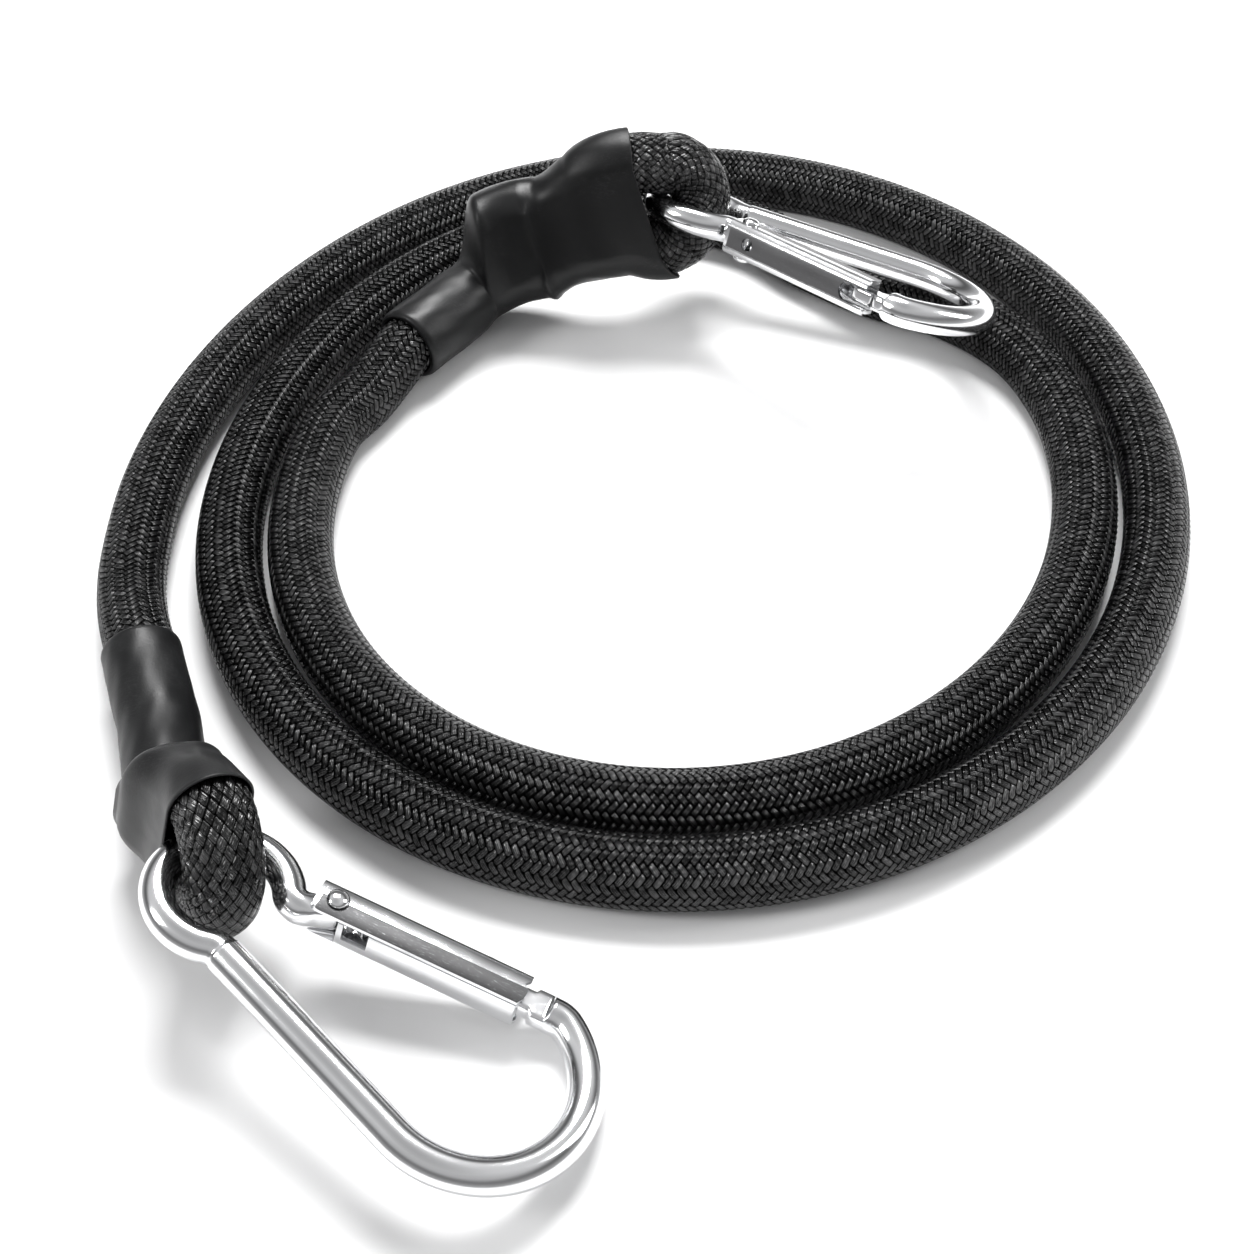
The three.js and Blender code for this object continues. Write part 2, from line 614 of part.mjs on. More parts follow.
function gateGeometry() {
  const through = 2 * (gate.halfWidth + cutOverrun);
  const webMiddle = gate.outerFace - gate.wall / 2;
  const webCut = gate.wall + cutOverrun;
  const stopHalf = gate.halfWidth - gate.wall / 2;
  const stopLow = gate.wall / 2 - gate.innerFace;
  const stopWall = block([stop.x, stop.x + stop.thickness], [stopLow, webMiddle], [-stopHalf, stopHalf]);
  const slotBox = block([slot.start, gate.noseEnd + cutOverrun],
    [webMiddle - webCut / 2, webMiddle + webCut], [-slot.halfWidth, slot.halfWidth]);
  const flapDepth = [-gate.innerFace - cutOverrun, gate.foldRadius - gate.innerFace];
  const neckRoom = block([-gate.eyeEnd - cutOverrun, flap.start], flapDepth, [-gateInside, gateInside]);
  const windowBox = block([flap.windowStart, flap.windowEnd], flapDepth, [flap.windowLow, gateInside]);
  const slotEnd = cutter(slot.halfWidth, 2 * webCut, 'y', { x: slot.start, y: webMiddle });
  const hole = cutter(peephole.radius, 2 * webCut, 'y', { x: peephole.x, y: webMiddle });
  const rivetHole = cutter(rivet.radius + boreGap, through, 'z', { x: 0, y: 0 });
  const solid = gateChannel().intersect(gateSide()).add(stopWall)
    .subtract(slotBox).subtract(slotEnd).subtract(hole).subtract(rivetHole)
    .subtract(neckRoom).subtract(windowBox);
  return fromManifold(solid);
}

function rivetGeometry() {
  const under = gate.halfWidth + rivet.headGap;
  const crown = under + rivet.headHeight;
  const profile = [
    [0, -crown], [rivet.headRadius * 0.6, -crown + rivet.headHeight * 0.2],
    [rivet.headRadius, -under], [rivet.radius, -under], [rivet.radius, under],
    [rivet.headRadius, under], [rivet.headRadius * 0.6, crown - rivet.headHeight * 0.2], [0, crown],
  ].map(([radius, height]) => new THREE.Vector2(radius, height));
  return new THREE.LatheGeometry(profile, rivet.sides).rotateX(Math.PI / 2);
}

const pinStart = tang.radius + runningGap;
const pinCollar = pinStart + pin.headLength;

function pinGeometry() {
  const tip = pinCollar + pin.shankLength;
  const profile = [
    [0, pinStart], [pin.headRadius * 0.7, pinStart + pin.headLength * 0.15],
    [pin.headRadius, pinStart + pin.headLength / 2], [pin.headRadius, pinCollar],
    [pin.shankRadius, pinCollar], [pin.shankRadius, tip], [0, tip],
  ].map(([radius, height]) => new THREE.Vector2(radius, height));
  return new THREE.LatheGeometry(profile, pin.sides).rotateZ(-Math.PI / 2);
}

// The spring between the pin's collar and the stop wall, each end run square to its seat
function springGeometry() {
  const start = pinCollar + runningGap;
  const finish = stop.x - runningGap;
  const wound = finish - start - 2 * spring.endRun;
  const steps = spring.curls * spring.stepsPerCurl;
  const points = Array.from({ length: steps + 1 }, (_, i) => {
    const angle = (i / spring.stepsPerCurl) * 2 * Math.PI;
    return new THREE.Vector3(
      start + spring.endRun + wound * (i / steps),
      spring.radius * Math.cos(angle),
      spring.radius * Math.sin(angle));
  });
  points.unshift(points[0].clone().setX(start));
  points.push(points.at(-1).clone().setX(finish));
  const gap = leastGap(points, 2 * spring.wireRadius, spring.stepsPerCurl - 2);
  console.log(`spring: least gap to itself ${gap.toFixed(2)} mm`);
  const rings = points.map((point, i) => {
    const ahead = points[Math.min(i + 1, points.length - 1)];
    const behind = points[Math.max(i - 1, 0)];
    const along = ahead.clone().sub(behind).normalize();
    const outward = new THREE.Vector3(0, point.y, point.z).normalize();
    outward.addScaledVector(along, -outward.dot(along)).normalize();
    const binormal = new THREE.Vector3().crossVectors(along, outward);
    return circlePoints(spring.wireRadius, spring.sides).map((place) => point.clone()
      .addScaledVector(outward, place.x).addScaledVector(binormal, place.y));
  });
  return rod(rings);
}

function buildHook(end) {
  const hook = new THREE.Group();
  hook.position.set(...end.ring);
  hook.rotation.set(radians(end.roll), radians(end.dive), radians(end.heading), 'ZYX');
  bungee.add(hook);
  addMesh(`hook_frame_${end.name}`, hookFrameGeometry(), polishedMaterial, hook);
  const gateGroup = new THREE.Group();
  gateGroup.position.set(hinge.x, hinge.y, 0);
  gateGroup.rotation.z = radians(gateAngle);
  hook.add(gateGroup);
  addMesh(`gate_${end.name}`, gateGeometry(), sheetMaterial, gateGroup);
  addMesh(`gate_rivet_${end.name}`, rivetGeometry(), polishedMaterial, gateGroup);
  addMesh(`gate_pin_${end.name}`, pinGeometry(), wireMaterial, gateGroup);
  addMesh(`gate_spring_${end.name}`, springGeometry(), wireMaterial, gateGroup);
}

buildCord(coilPath());
ends.forEach((end) => {
  const paths = strandPaths(end);
  buildEye(end, paths);
  buildClamp(end, paths);
  buildSleeve(end, paths);
  buildHook(end);
});

export default bungee;
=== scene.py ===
# %% [markdown]
# # A bungee cord in Blender
# The cord is a bundle of rubber strands in a braided cover. It lies in a little over two turns,
# and each end is folded into an eye under a shrunk sleeve, with a snap hook through it. The
# packed model gives the sizes, the places and the moving bodies. This file gives each piece its
# full shape and its finish. Lengths are in metres.

# %% Load the packed model
import math

import bmesh
import bpy
import numpy as np
from mathutils import Matrix, Vector


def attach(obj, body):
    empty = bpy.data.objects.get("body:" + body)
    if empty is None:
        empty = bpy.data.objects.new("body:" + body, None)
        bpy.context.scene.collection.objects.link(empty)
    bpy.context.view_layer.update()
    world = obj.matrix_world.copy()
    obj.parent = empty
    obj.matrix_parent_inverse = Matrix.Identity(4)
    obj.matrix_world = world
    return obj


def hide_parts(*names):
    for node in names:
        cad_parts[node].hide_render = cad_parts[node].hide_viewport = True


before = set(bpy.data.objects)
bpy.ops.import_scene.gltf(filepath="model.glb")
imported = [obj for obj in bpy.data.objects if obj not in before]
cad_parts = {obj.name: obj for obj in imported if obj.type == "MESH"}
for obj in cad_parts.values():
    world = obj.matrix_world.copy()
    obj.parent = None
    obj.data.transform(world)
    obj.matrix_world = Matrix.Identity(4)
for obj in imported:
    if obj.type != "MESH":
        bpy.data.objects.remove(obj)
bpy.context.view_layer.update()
scene = bpy.context.scene
MM = 0.001
up = np.array([0.0, 0.0, 1.0])

# %% [markdown]
# ## The camera
# The picture was taken from the front and well above, with a normal lens. The camera's place
# was worked out from the two outer turns, which are close to circles that lie flat on the floor.

# %% Set the camera
shift = np.array([8.63, 1.4, 0.0])
picture_side = 1254
focal_px = 1742
camera_height = math.radians(49)
camera_distance = 312.4 * MM

camera_data = bpy.data.cameras.new("camera")
camera_data.sensor_width = 36
camera_data.lens = focal_px / picture_side * camera_data.sensor_width
camera = bpy.data.objects.new("camera", camera_data)
aim = Vector(shift * MM)
away = Vector((0, -math.cos(camera_height), math.sin(camera_height)))
camera.location = aim + away * camera_distance
camera.rotation_euler = (math.pi / 2 - camera_height, 0, 0)
scene.collection.objects.link(camera)
scene.camera = camera
print(f"camera: {camera_data.lens:.1f} mm lens, {camera_distance:.3f} m away")


# %% [markdown]
# ## The cord's line
# The whole cord follows one line: from its first folded end, round the first eye, through the
# coil, round the second eye and back to its other folded end. The coil's turns come from a
# formula. The rest goes smoothly through chosen points, in the same way as in the solid model.

# %% Make smooth curves through points
tangent_reach = 0.05


def curve_through(points, density=60):
    """Even samples of a centripetal Catmull-Rom curve, and the run to each."""
    points = np.asarray(points, float)
    points = np.vstack([2 * points[0] - points[1], points, 2 * points[-1] - points[-2]])
    pieces = []
    for before, start, end, after in zip(points, points[1:], points[2:], points[3:]):
        gaps = [max(np.linalg.norm(b - a), 1e-9) ** 0.5
                for a, b in ((before, start), (start, end), (end, after))]
        leave = ((start - before) / gaps[0] - (end - before) / (gaps[0] + gaps[1])
                 + (end - start) / gaps[1]) * gaps[1]
        arrive = ((end - start) / gaps[1] - (after - start) / (gaps[1] + gaps[2])
                  + (after - end) / gaps[2]) * gaps[1]
        t = np.linspace(0, 1, density, endpoint=False)[:, None]
        pieces.append(start + leave * t + (3 * (end - start) - 2 * leave - arrive) * t**2
                      + (2 * (start - end) + leave + arrive) * t**3)
    line = np.vstack(pieces + [points[-2:-1]])
    run = np.concatenate([[0], np.cumsum(np.linalg.norm(np.diff(line, axis=0), axis=1))])
    return line, run


def at_run(curve, run):
    line, runs = curve
    return np.stack([np.interp(run, runs, line[:, k]) for k in range(3)], axis=-1)


def along_at(curve, run):
    top = curve[1][-1]
    ahead = at_run(curve, np.minimum(run + tangent_reach, top))
    step = ahead - at_run(curve, np.maximum(np.minimum(run, top) - tangent_reach, 0))
    return step / np.linalg.norm(step, axis=-1, keepdims=True)


def smooth(share):
    t = np.clip(share, 0, 1)
    return t * t * (3 - 2 * t)


# %% [markdown]
# ## The coil
# A cord that is laid down by hand makes turns that are nearly circles and slowly close in. A plain
# spiral looks drawn, so slow waves bend it, its first turn flares out towards end 1, and a short
# dip leads the inner turn past the hook behind. The cord's weight presses it a little flat, so its
# axis lies lower than its radius.

# %% Wind the coil
cord_radius = 6.0
floor_axis_height = 4.8
coil_middle_x, coil_middle_y = 6, 36
coil_start_angle = math.radians(202)
coil_first_turn, coil_last_turn, coil_steps_per_turn = 0.02, 2.09, 30
coil_start_radius, coil_shrink_per_turn = 98.7, 13.07
coil_waves = [(1, 4.61, -21.2), (2, 2.97, 129.5), (3, 0.44, -89.2)]  # count, size, peak in degrees
flare_size, flare_turns = 4.8, 0.128
dip_size, dip_turn, dip_turns = 13.8, 1.407, 0.055


def coil_point(turn):
    angle = coil_start_angle - 2 * math.pi * turn
    waves = sum(size * math.cos(k * angle - math.radians(peak)) for k, size, peak in coil_waves)
    flare = flare_size * math.exp(-turn / flare_turns)
    dip = dip_size * math.exp(-(((turn - dip_turn) / dip_turns) ** 2))
    radius = coil_start_radius - coil_shrink_per_turn * turn + waves + flare - dip
    return [coil_middle_x + radius * math.cos(angle), coil_middle_y + radius * math.sin(angle),
            floor_axis_height]


coil_steps = round((coil_last_turn - coil_first_turn) * coil_steps_per_turn)
coil_points = [coil_point(turn)
               for turn in np.linspace(coil_first_turn, coil_last_turn, coil_steps + 1)]
print(f"coil: {coil_last_turn - coil_first_turn:.2f} turns through {len(coil_points)} points")

# %% [markdown]
# ## The two ends
# Both ends are made alike and lie differently. The hook's ring stands at ring, turned by heading,
# dive and roll, and the cord's eye has its own heading, dive and lean. The lead's points go from
# the coil into the sleeve, and the run's points go from the eye to the lead's end. Runs along the
# sleeve start at the eye: the slanted mouth, the clamp, where both strands lie together, where the
# folded tail stops, and how soon the sleeve then closes over it.

# %% Place the two ends
ends = [
    {"name": "1", "ring": [-59.3, -66.3, 16.6], "heading": -37.1, "dive": 10, "roll": -13.3,
     "eye_heading": -64, "eye_dive": 2.9, "eye_lean": 16.5,
     "mouth_run": 0.1, "mouth_slant": 0.8, "clamp_run": 7, "closing_run": 12, "tail_run": 10.5,
     "knob_setback": 1.5, "knob_run": 5.5,
     "lead": [[-88.3, 3, 4.8], [-86.2, -4.5, 6], [-83.2, -12.4, 7.5], [-78.9, -24.2, 7.5]],
     "run": [[-71.5, -46.7, 8.75], [-74.2, -38.8, 8.6]]},
    {"name": "2", "ring": [15.6, 94.6, 21.3], "heading": -28.1, "dive": 2.8, "roll": 155.2,
     "eye_heading": 8, "eye_dive": 17, "eye_lean": 18,
     "mouth_run": -1.4, "mouth_slant": 12.6, "clamp_run": 16, "closing_run": 19, "tail_run": 28,
     "knob_setback": 3, "knob_run": 8,
     "lead": [[-51.8, 56, 4.8], [-47.9, 62.9, 6], [-44.4, 68.7, 7.5], [-37.4, 77.9, 7.5]],
     "run": [[-8, 88.8, 16], [-16.5, 89, 13], [-24.5, 88.3, 10.3], [-30.9, 85.6, 8.4]]},
]
ring_bar_radius = 2.65
eye_seat = 9.5
eye_half_gap = cord_radius + ring_bar_radius + 0.15
closed_strands = 11.4
steady_closing, eased_closing = 0.8, 0.2
clamp_squeeze, clamp_reach = 0.09, 5.5


def turned(heading, dive):
    h, d = math.radians(heading), math.radians(dive)
    return np.array([math.cos(h) * math.cos(d), math.sin(h) * math.cos(d), -math.sin(d)])


def squeezed(end, run):
    """The share of its radius that each strand keeps, which is least under the clamp."""
    return 1 - clamp_squeeze * np.exp(-(((run - end["clamp_run"]) / clamp_reach) ** 2))


print("ends:", [end["name"] for end in ends])

# %% [markdown]
# ### Two strands in each end
# Inside the sleeve the cord lies double: the lower strand goes on to the coil, and the folded one
# lies on top of it. They are an eye's width apart at the eye and come together towards the clamp.
# So the upper strand is the lower one's curve, raised by a distance that closes along the run.

# %% Follow the two strands
def strand_of(end):
    """The lower strand from the eye's bend to the coil, with the folded strand above it."""
    outward = turned(end["eye_heading"], end["eye_dive"])
    left = turned(end["eye_heading"] + 90, 0)
    lean = math.radians(end["eye_lean"])
    across = np.cross(outward, left) * math.cos(lean) + left * math.sin(lean)
    bend_middle = np.array(end["ring"]) - outward * eye_seat
    start = bend_middle - across * eye_half_gap
    lead_start, joint = np.array(end["lead"][-2]), np.array(end["lead"][-1])
    straight = (joint - lead_start) / np.linalg.norm(joint - lead_start)
    past_joint = joint + straight * cord_radius * 0.8
    curve = curve_through([start, start - outward * eye_seat / 2, *end["run"], past_joint,
                           joint, lead_start])
    length = curve[1][-1]

    def stack(run):
        along = along_at(curve, run)
        lift = across - along * (along @ across)[..., None]
        return lift / np.linalg.norm(lift, axis=-1, keepdims=True)

    def spread(run):
        share = np.clip(run / end["closing_run"], 0, 1)
        opening = 1 - steady_closing * share - eased_closing * smooth(share)
        closed = closed_strands * squeezed(end, run)
        return closed + (2 * eye_half_gap - closed) * opening

    def upper(run):
        return at_run(curve, run) + stack(run) * np.asarray(spread(run))[..., None]

    return {"outward": outward, "across": across, "bend_middle": bend_middle, "curve": curve,
            "joint_run": length - np.linalg.norm(joint - lead_start), "stack": stack,
            "spread": spread, "upper": upper}


strands = [strand_of(end) for end in ends]
for end, strand in zip(ends, strands):
    print(f"end {end['name']}: {strand['joint_run']:.0f} mm from the eye to the lead")

# %% [markdown]
# ## One line for the whole cord
# The two eyes, their leads and the coil are joined to one list of points, and one curve goes
# through them all. So the cord is a single piece here, as it is on the real object, and its length
# can be measured along that curve.

# %% Join the eyes, the leads and the coil
joint_gap = 0.55
first_step, eye_step = 0.6, 2
bend_points = 9


def eye_points(end, strand):
    """Points in along the lower strand, round the bend and back on top."""
    lower_start = strand["joint_run"] - joint_gap
    lower_steps = round(lower_start / eye_step)
    runs = [lower_start, lower_start - first_step]
    runs += [lower_start * (1 - i / lower_steps) for i in range(1, lower_steps)]
    points = list(at_run(strand["curve"], np.array(runs)))
    for angle in np.linspace(0, math.pi, bend_points):
        points.append(strand["bend_middle"] - strand["across"] * eye_half_gap * math.cos(angle)
                      + strand["outward"] * eye_half_gap * math.sin(angle))
    tail_steps = round(end["tail_run"] / eye_step)
    tail_runs = end["tail_run"] * np.arange(1, tail_steps + 1) / tail_steps
    return points + list(strand["upper"](tail_runs))


eyes = [eye_points(end, strand) for end, strand in zip(ends, strands)]
route = np.array(eyes[0][::-1] + ends[0]["lead"][::-1] + coil_points + ends[1]["lead"] + eyes[1])
cord_curve = curve_through(route + shift, density=24)
cord_length = cord_curve[1][-1]
eye_lengths = [curve_through(eye)[1][-1] for eye in eyes]
print(f"cord: {cord_length:.0f} mm from end to end")
print(f"eyes: {eye_lengths[0]:.0f} mm and {eye_lengths[1]:.0f} mm")


# %% [markdown]
# ## The braided cover
# The cover is braided from carriers of shiny black yarn that wind both ways round the cord. In
# the coil each carrier goes over two others and under two, which shows as columns of slanted
# stitches with interlocked ends. In the eyes the braid is pulled open to a plain basket weave.
# The tube has two points to a column and two to a stitch, moved in and out, so the braid shows in
# its outline. The material reads the same columns and stitches from the tube's UV map.

# %% Make meshes from rings of points
def add_piece(name, points, faces, material=None):
    mesh = bpy.data.meshes.new(name)
    mesh.from_pydata([tuple(p) for p in points], [], faces)
    mesh.polygons.foreach_set("use_smooth", [True] * len(mesh.polygons))
    mesh.update()
    piece = bpy.data.objects.new(name, mesh)
    scene.collection.objects.link(piece)
    if material:
        mesh.materials.append(material)
    return piece


def ring_faces(rings, sides, closed=False):
    faces = []
    for i in range(rings if closed else rings - 1):
        low, high = i * sides, ((i + 1) % rings) * sides
        faces += [(low + k, low + (k + 1) % sides, high + (k + 1) % sides, high + k)
                  for k in range(sides)]
    return faces


def capped_faces(rings, sides):
    """The faces of a tube with a flat face at each end."""
    last = (rings - 1) * sides
    return ring_faces(rings, sides) + [tuple(range(sides))[::-1],
                                       tuple(range(last, last + sides))]


def face_outwards(piece):
    work = bmesh.new()
    work.from_mesh(piece.data)
    bmesh.ops.recalc_face_normals(work, faces=work.faces)
    work.to_mesh(piece.data)
    work.free()


def carried_frames(points):
    """Directions along and square to a line, carried from point to point without twist."""
    along = np.gradient(points, axis=0)
    along /= np.linalg.norm(along, axis=1)[:, None]
    side = np.cross(along[0], up if abs(along[0][2]) < 0.9 else np.array([1.0, 0, 0]))
    sides = []
    for direction in along:
        side = side - direction * (side @ direction)
        side /= np.linalg.norm(side)
        sides.append(side)
    sides = np.array(sides)
    return sides, np.cross(along, sides)


# %% [markdown]
# ### The braid as a height
# Both families of yarn run along diagonals of the columns and rows. At each crossing one of them
# is on top, and it stays on top over two crossings in the coil and over one in the eyes. A yarn is
# round across its width and dives at both ends of its float, so its height is one arch times
# another. Each power says how round or how flat its arch is.

# %% Work out the height of the braid
columns, stitch = 20, 1.4
eye_row_share = 0.78
side_power, end_power = 0.65, {1: 0.25, 2: 0.55}


def weave_height(column, row, over):
    """How high the braid stands, with two families of yarn that cross on the diagonals."""
    p, q = column + row, column - row
    place = np.mod(np.floor(p) + np.floor(q), 2 * over)
    other = place >= over
    across = np.where(other, q, p) % 1
    along = (np.where(other, p, q) % 1 + place - over * other) / over
    width_arch = (4 * across * (1 - across)) ** side_power
    return width_arch * (4 * along * (1 - along)) ** end_power[over]


# %% Braid the cover
weave_depth, mean_height = 0.34, 0.6
cover_radius = cord_radius - 0.05
floor_clearance = 0.02
rings = int(cord_length / (stitch / 2))
runs = np.linspace(0, cord_length, rings)
centres = at_run(cord_curve, runs)
sides, lifts = carried_frames(centres)
in_eye = (runs < eye_lengths[0]) | (runs > cord_length - eye_lengths[1])
around = np.arange(2 * columns)
rows = runs[:, None] / stitch
in_coil_heights = weave_height(around[None, :] / 2, rows, 2)
in_eye_heights = weave_height(around[None, :] / 2, rows * eye_row_share, 1)
heights = np.where(in_eye[:, None], in_eye_heights, in_coil_heights)
thinner = np.ones(rings)
for end, strand in zip(ends, strands):
    for place in (at_run(strand["curve"], end["clamp_run"]), strand["upper"](end["clamp_run"])):
        distance = np.linalg.norm(centres - place - shift, axis=1)
        thinner -= clamp_squeeze * np.exp(-((distance / clamp_reach) ** 2))
radii = cover_radius * thinner[:, None] + weave_depth * (heights - mean_height)
angles = around / (2 * columns) * 2 * math.pi
cover_points = (centres[:, None, :]
                + sides[:, None, :] * (radii * np.cos(angles))[:, :, None]
                + lifts[:, None, :] * (radii * np.sin(angles))[:, :, None])
cover_points[:, :, 2] = np.maximum(cover_points[:, :, 2], floor_clearance)
cord = add_piece("cord", cover_points.reshape(-1, 3) * MM, capped_faces(rings, 2 * columns))
print(f"cover: {rings} rings, {len(cord.data.polygons)} faces")

# %% [markdown]
# ### Columns and rows for the material
# The material draws the fine yarns that are too small for the mesh. So that both agree, the cover's
# UV map counts columns of the braid across and stitches along, from the first folded end.

# %% Map the columns and stitches
uv = cord.data.uv_layers.new(name="strand")
quads = (rings - 1) * 2 * columns
ring_index = np.repeat(np.arange(rings - 1), 2 * columns)
side_index = np.tile(around, rings - 1)
corner_u = np.stack([side_index, side_index + 1, side_index + 1, side_index], axis=1) / 2
corner_v = np.stack([ring_index, ring_index, ring_index + 1, ring_index + 1], axis=1)
corner_v = corner_v * (cord_length / (rings - 1)) / stitch
flat = np.zeros((len(cord.data.loops), 2))
flat[:quads * 4] = np.stack([corner_u, corner_v], axis=2).reshape(-1, 2)
uv.data.foreach_set("uv", flat.reshape(-1))
print(f"map: {columns} columns, {corner_v.max():.0f} stitches")


# %% [markdown]
# ## Finishes as node groups
# A finish that several materials share is a small group of nodes with named inputs and outputs.
# The groups give masks and heights, and the shader itself stays in each material.

# %% Build node groups
class Nodes:
    """Short ways to add and join nodes in one tree."""

    def __init__(self, tree):
        self.tree = tree

    def add(self, kind, **settings):
        node = self.tree.nodes.new(kind)
        for key, value in settings.items():
            setattr(node, key, value)
        return node

    def join(self, value, socket):
        if isinstance(value, bpy.types.NodeSocket):
            self.tree.links.new(value, socket)
        else:
            socket.default_value = value

    def math(self, operation, *values, clamp=False):
        node = self.add("ShaderNodeMath", operation=operation, use_clamp=clamp)
        for value, socket in zip(values, node.inputs):
            self.join(value, socket)
        return node.outputs[0]

    def vector(self, operation, *values):
        node = self.add("ShaderNodeVectorMath", operation=operation)
        for value, socket in zip(values, node.inputs):
            self.join(value, socket)
        return node.outputs["Value" if operation == "DOT_PRODUCT" else "Vector"]

    def remap(self, value, low, high, to_low=0.0, to_high=1.0):
        node = self.add("ShaderNodeMapRange", interpolation_type="SMOOTHSTEP")
        for number, name in ((value, "Value"), (low, "From Min"), (high, "From Max"),
                             (to_low, "To Min"), (to_high, "To Max")):
            self.join(number, node.inputs[name])
        return node.outputs["Result"]

    def mix(self, share, first, second):
        node = self.add("ShaderNodeMix", data_type="RGBA")
        self.join(share, node.inputs["Factor"])
        self.join(first, node.inputs[6])
        self.join(second, node.inputs[7])
        return node.outputs[2]

    def noise(self, vector, scale, detail=3.0, roughness=0.55, distortion=0.0):
        node = self.add("ShaderNodeTexNoise")
        self.join(vector, node.inputs["Vector"])
        for value, name in ((scale, "Scale"), (detail, "Detail"), (roughness, "Roughness"),
                            (distortion, "Distortion")):
            self.join(value, node.inputs[name])
        return node.outputs["Fac"]


print("node helpers:", [name for name in vars(Nodes) if not name.startswith("_")])

# %% [markdown]
# ### Groups with named sockets
# In Blender 4.5 a group's sockets belong to its interface, so they are made there, each with its
# name, its kind and its starting value.

# %% Make empty groups
def new_group(name, inputs, outputs):
    tree = bpy.data.node_groups.new(name, "ShaderNodeTree")
    for label, kind, value in inputs:
        socket = tree.interface.new_socket(label, in_out="INPUT", socket_type=kind)
        if value is not None:
            socket.default_value = value
    for label, kind in outputs:
        tree.interface.new_socket(label, in_out="OUTPUT", socket_type=kind)
    nodes = Nodes(tree)
    return tree, nodes, nodes.add("NodeGroupInput").outputs, nodes.add("NodeGroupOutput").inputs


FLOAT, VECTOR = "NodeSocketFloat", "NodeSocketVector"

# %% [markdown]
# ### The braid group
# This is the same height as the mesh has, worked out again for each point of the surface. It also
# gives each float of yarn a chance value of its own, so that some floats are brighter than others,
# and a mask of the gaps between them, where the material paints shade. Each yarn is a flat bundle,
# so it gets fine filaments.

# %% The braid group
filaments, filament_depth = 4, 0.1
braid_group, n, given, out = new_group(
    "braid", [("Row Share", FLOAT, 1.0), ("Over", FLOAT, 2.0), ("End Power", FLOAT, 0.55)],
    [("Height", FLOAT), ("Chance", FLOAT), ("Gap", FLOAT)])
split = n.add("ShaderNodeSeparateXYZ")
n.join(n.add("ShaderNodeUVMap", uv_map="strand").outputs["UV"], split.inputs[0])
row = n.math("MULTIPLY", split.outputs["Y"], given["Row Share"])
p = n.math("ADD", split.outputs["X"], row)
q = n.math("SUBTRACT", split.outputs["X"], row)
p_number, q_number = n.math("FLOOR", p), n.math("FLOOR", q)
crossing = n.math("ADD", p_number, q_number)
repeat = n.math("MULTIPLY", given["Over"], 2.0)
place = n.math("FLOORED_MODULO", crossing, repeat)
other = n.math("GREATER_THAN", place, n.math("SUBTRACT", given["Over"], 0.5))


def pick(first, second):
    return n.math("ADD", first, n.math("MULTIPLY", other, n.math("SUBTRACT", second, first)))


def arch(value, power):
    rise = n.math("MULTIPLY", n.math("MULTIPLY", value, n.math("SUBTRACT", 1.0, value)), 4.0)
    return n.math("POWER", rise, power)


across = pick(n.math("FRACT", p), n.math("FRACT", q))
float_start = n.math("SUBTRACT", place, n.math("MULTIPLY", other, given["Over"]))
along = n.math("DIVIDE", n.math("ADD", pick(n.math("FRACT", q), n.math("FRACT", p)), float_start),
               given["Over"])
bulge = n.math("MULTIPLY", arch(across, side_power), arch(along, given["End Power"]))
filament = n.math("SINE", n.math("MULTIPLY", across, filaments * 2 * math.pi))
combed = n.math("ADD", 1.0, n.math("MULTIPLY", filament, filament_depth))
number = n.add("ShaderNodeCombineXYZ")
n.join(pick(p_number, q_number), number.inputs["X"])
n.join(n.math("FLOOR", n.math("DIVIDE", crossing, given["Over"])), number.inputs["Y"])
chance = n.add("ShaderNodeTexWhiteNoise", noise_dimensions="2D")
n.join(number.outputs[0], chance.inputs["Vector"])
n.join(n.math("MULTIPLY", bulge, combed), out["Height"])
n.join(chance.outputs["Value"], out["Chance"])
# The gap mask marks where the braid's material paints shade between the floats.
n.join(n.remap(bulge, 0.6, 0.2), out["Gap"])
print("braid group:", len(braid_group.nodes), "nodes")

# %% [markdown]
# ### The wear group
# Rubber and plating are never quite even. The cloud is a slow change over the surface, the
# scratches are thin lines that show only where the cloud is high, and the edge mask finds corners,
# which rub first.

# %% The wear group
wear_group, n, given, out = new_group(
    "wear", [("Scale", FLOAT, 1.0), ("Amount", FLOAT, 0.5)],
    [("Cloud", FLOAT), ("Scratches", FLOAT), ("Edge", FLOAT)])
where = n.add("ShaderNodeTexCoord").outputs["Object"]
cloud = n.noise(where, n.math("MULTIPLY", given["Scale"], 90.0), 4.0, 0.6)
stretched = n.vector("MULTIPLY", where, (1.0, 6.0, 2.5))
scratch = n.noise(stretched, n.math("MULTIPLY", given["Scale"], 420.0), 3.0, 0.7, 0.6)
lines = n.remap(n.math("ABSOLUTE", n.math("SUBTRACT", scratch, 0.5)), 0.02, 0.0)
geometry = n.add("ShaderNodeNewGeometry")
edge = n.remap(geometry.outputs["Pointiness"], 0.53, 0.62)
n.join(cloud, out["Cloud"])
n.join(n.math("MULTIPLY", n.math("MULTIPLY", lines, given["Amount"]), n.remap(cloud, 0.45, 0.7)),
       out["Scratches"])
n.join(edge, out["Edge"])
print("wear group:", len(wear_group.nodes), "nodes")


# %% Write materials with the groups
def new_material(name, **settings):
    material = bpy.data.materials.new(name)
    material.use_nodes = True
    shader = material.node_tree.nodes["Principled BSDF"]
    for key, value in settings.items():
        shader.inputs[key.replace("_", " ")].default_value = value
    return material, Nodes(material.node_tree), shader.inputs


def place_group(nodes, tree, **values):
    node = nodes.add("ShaderNodeGroup", node_tree=tree)
    for key, value in values.items():
        nodes.join(value, node.inputs[key.replace("_", " ")])
    return node.outputs


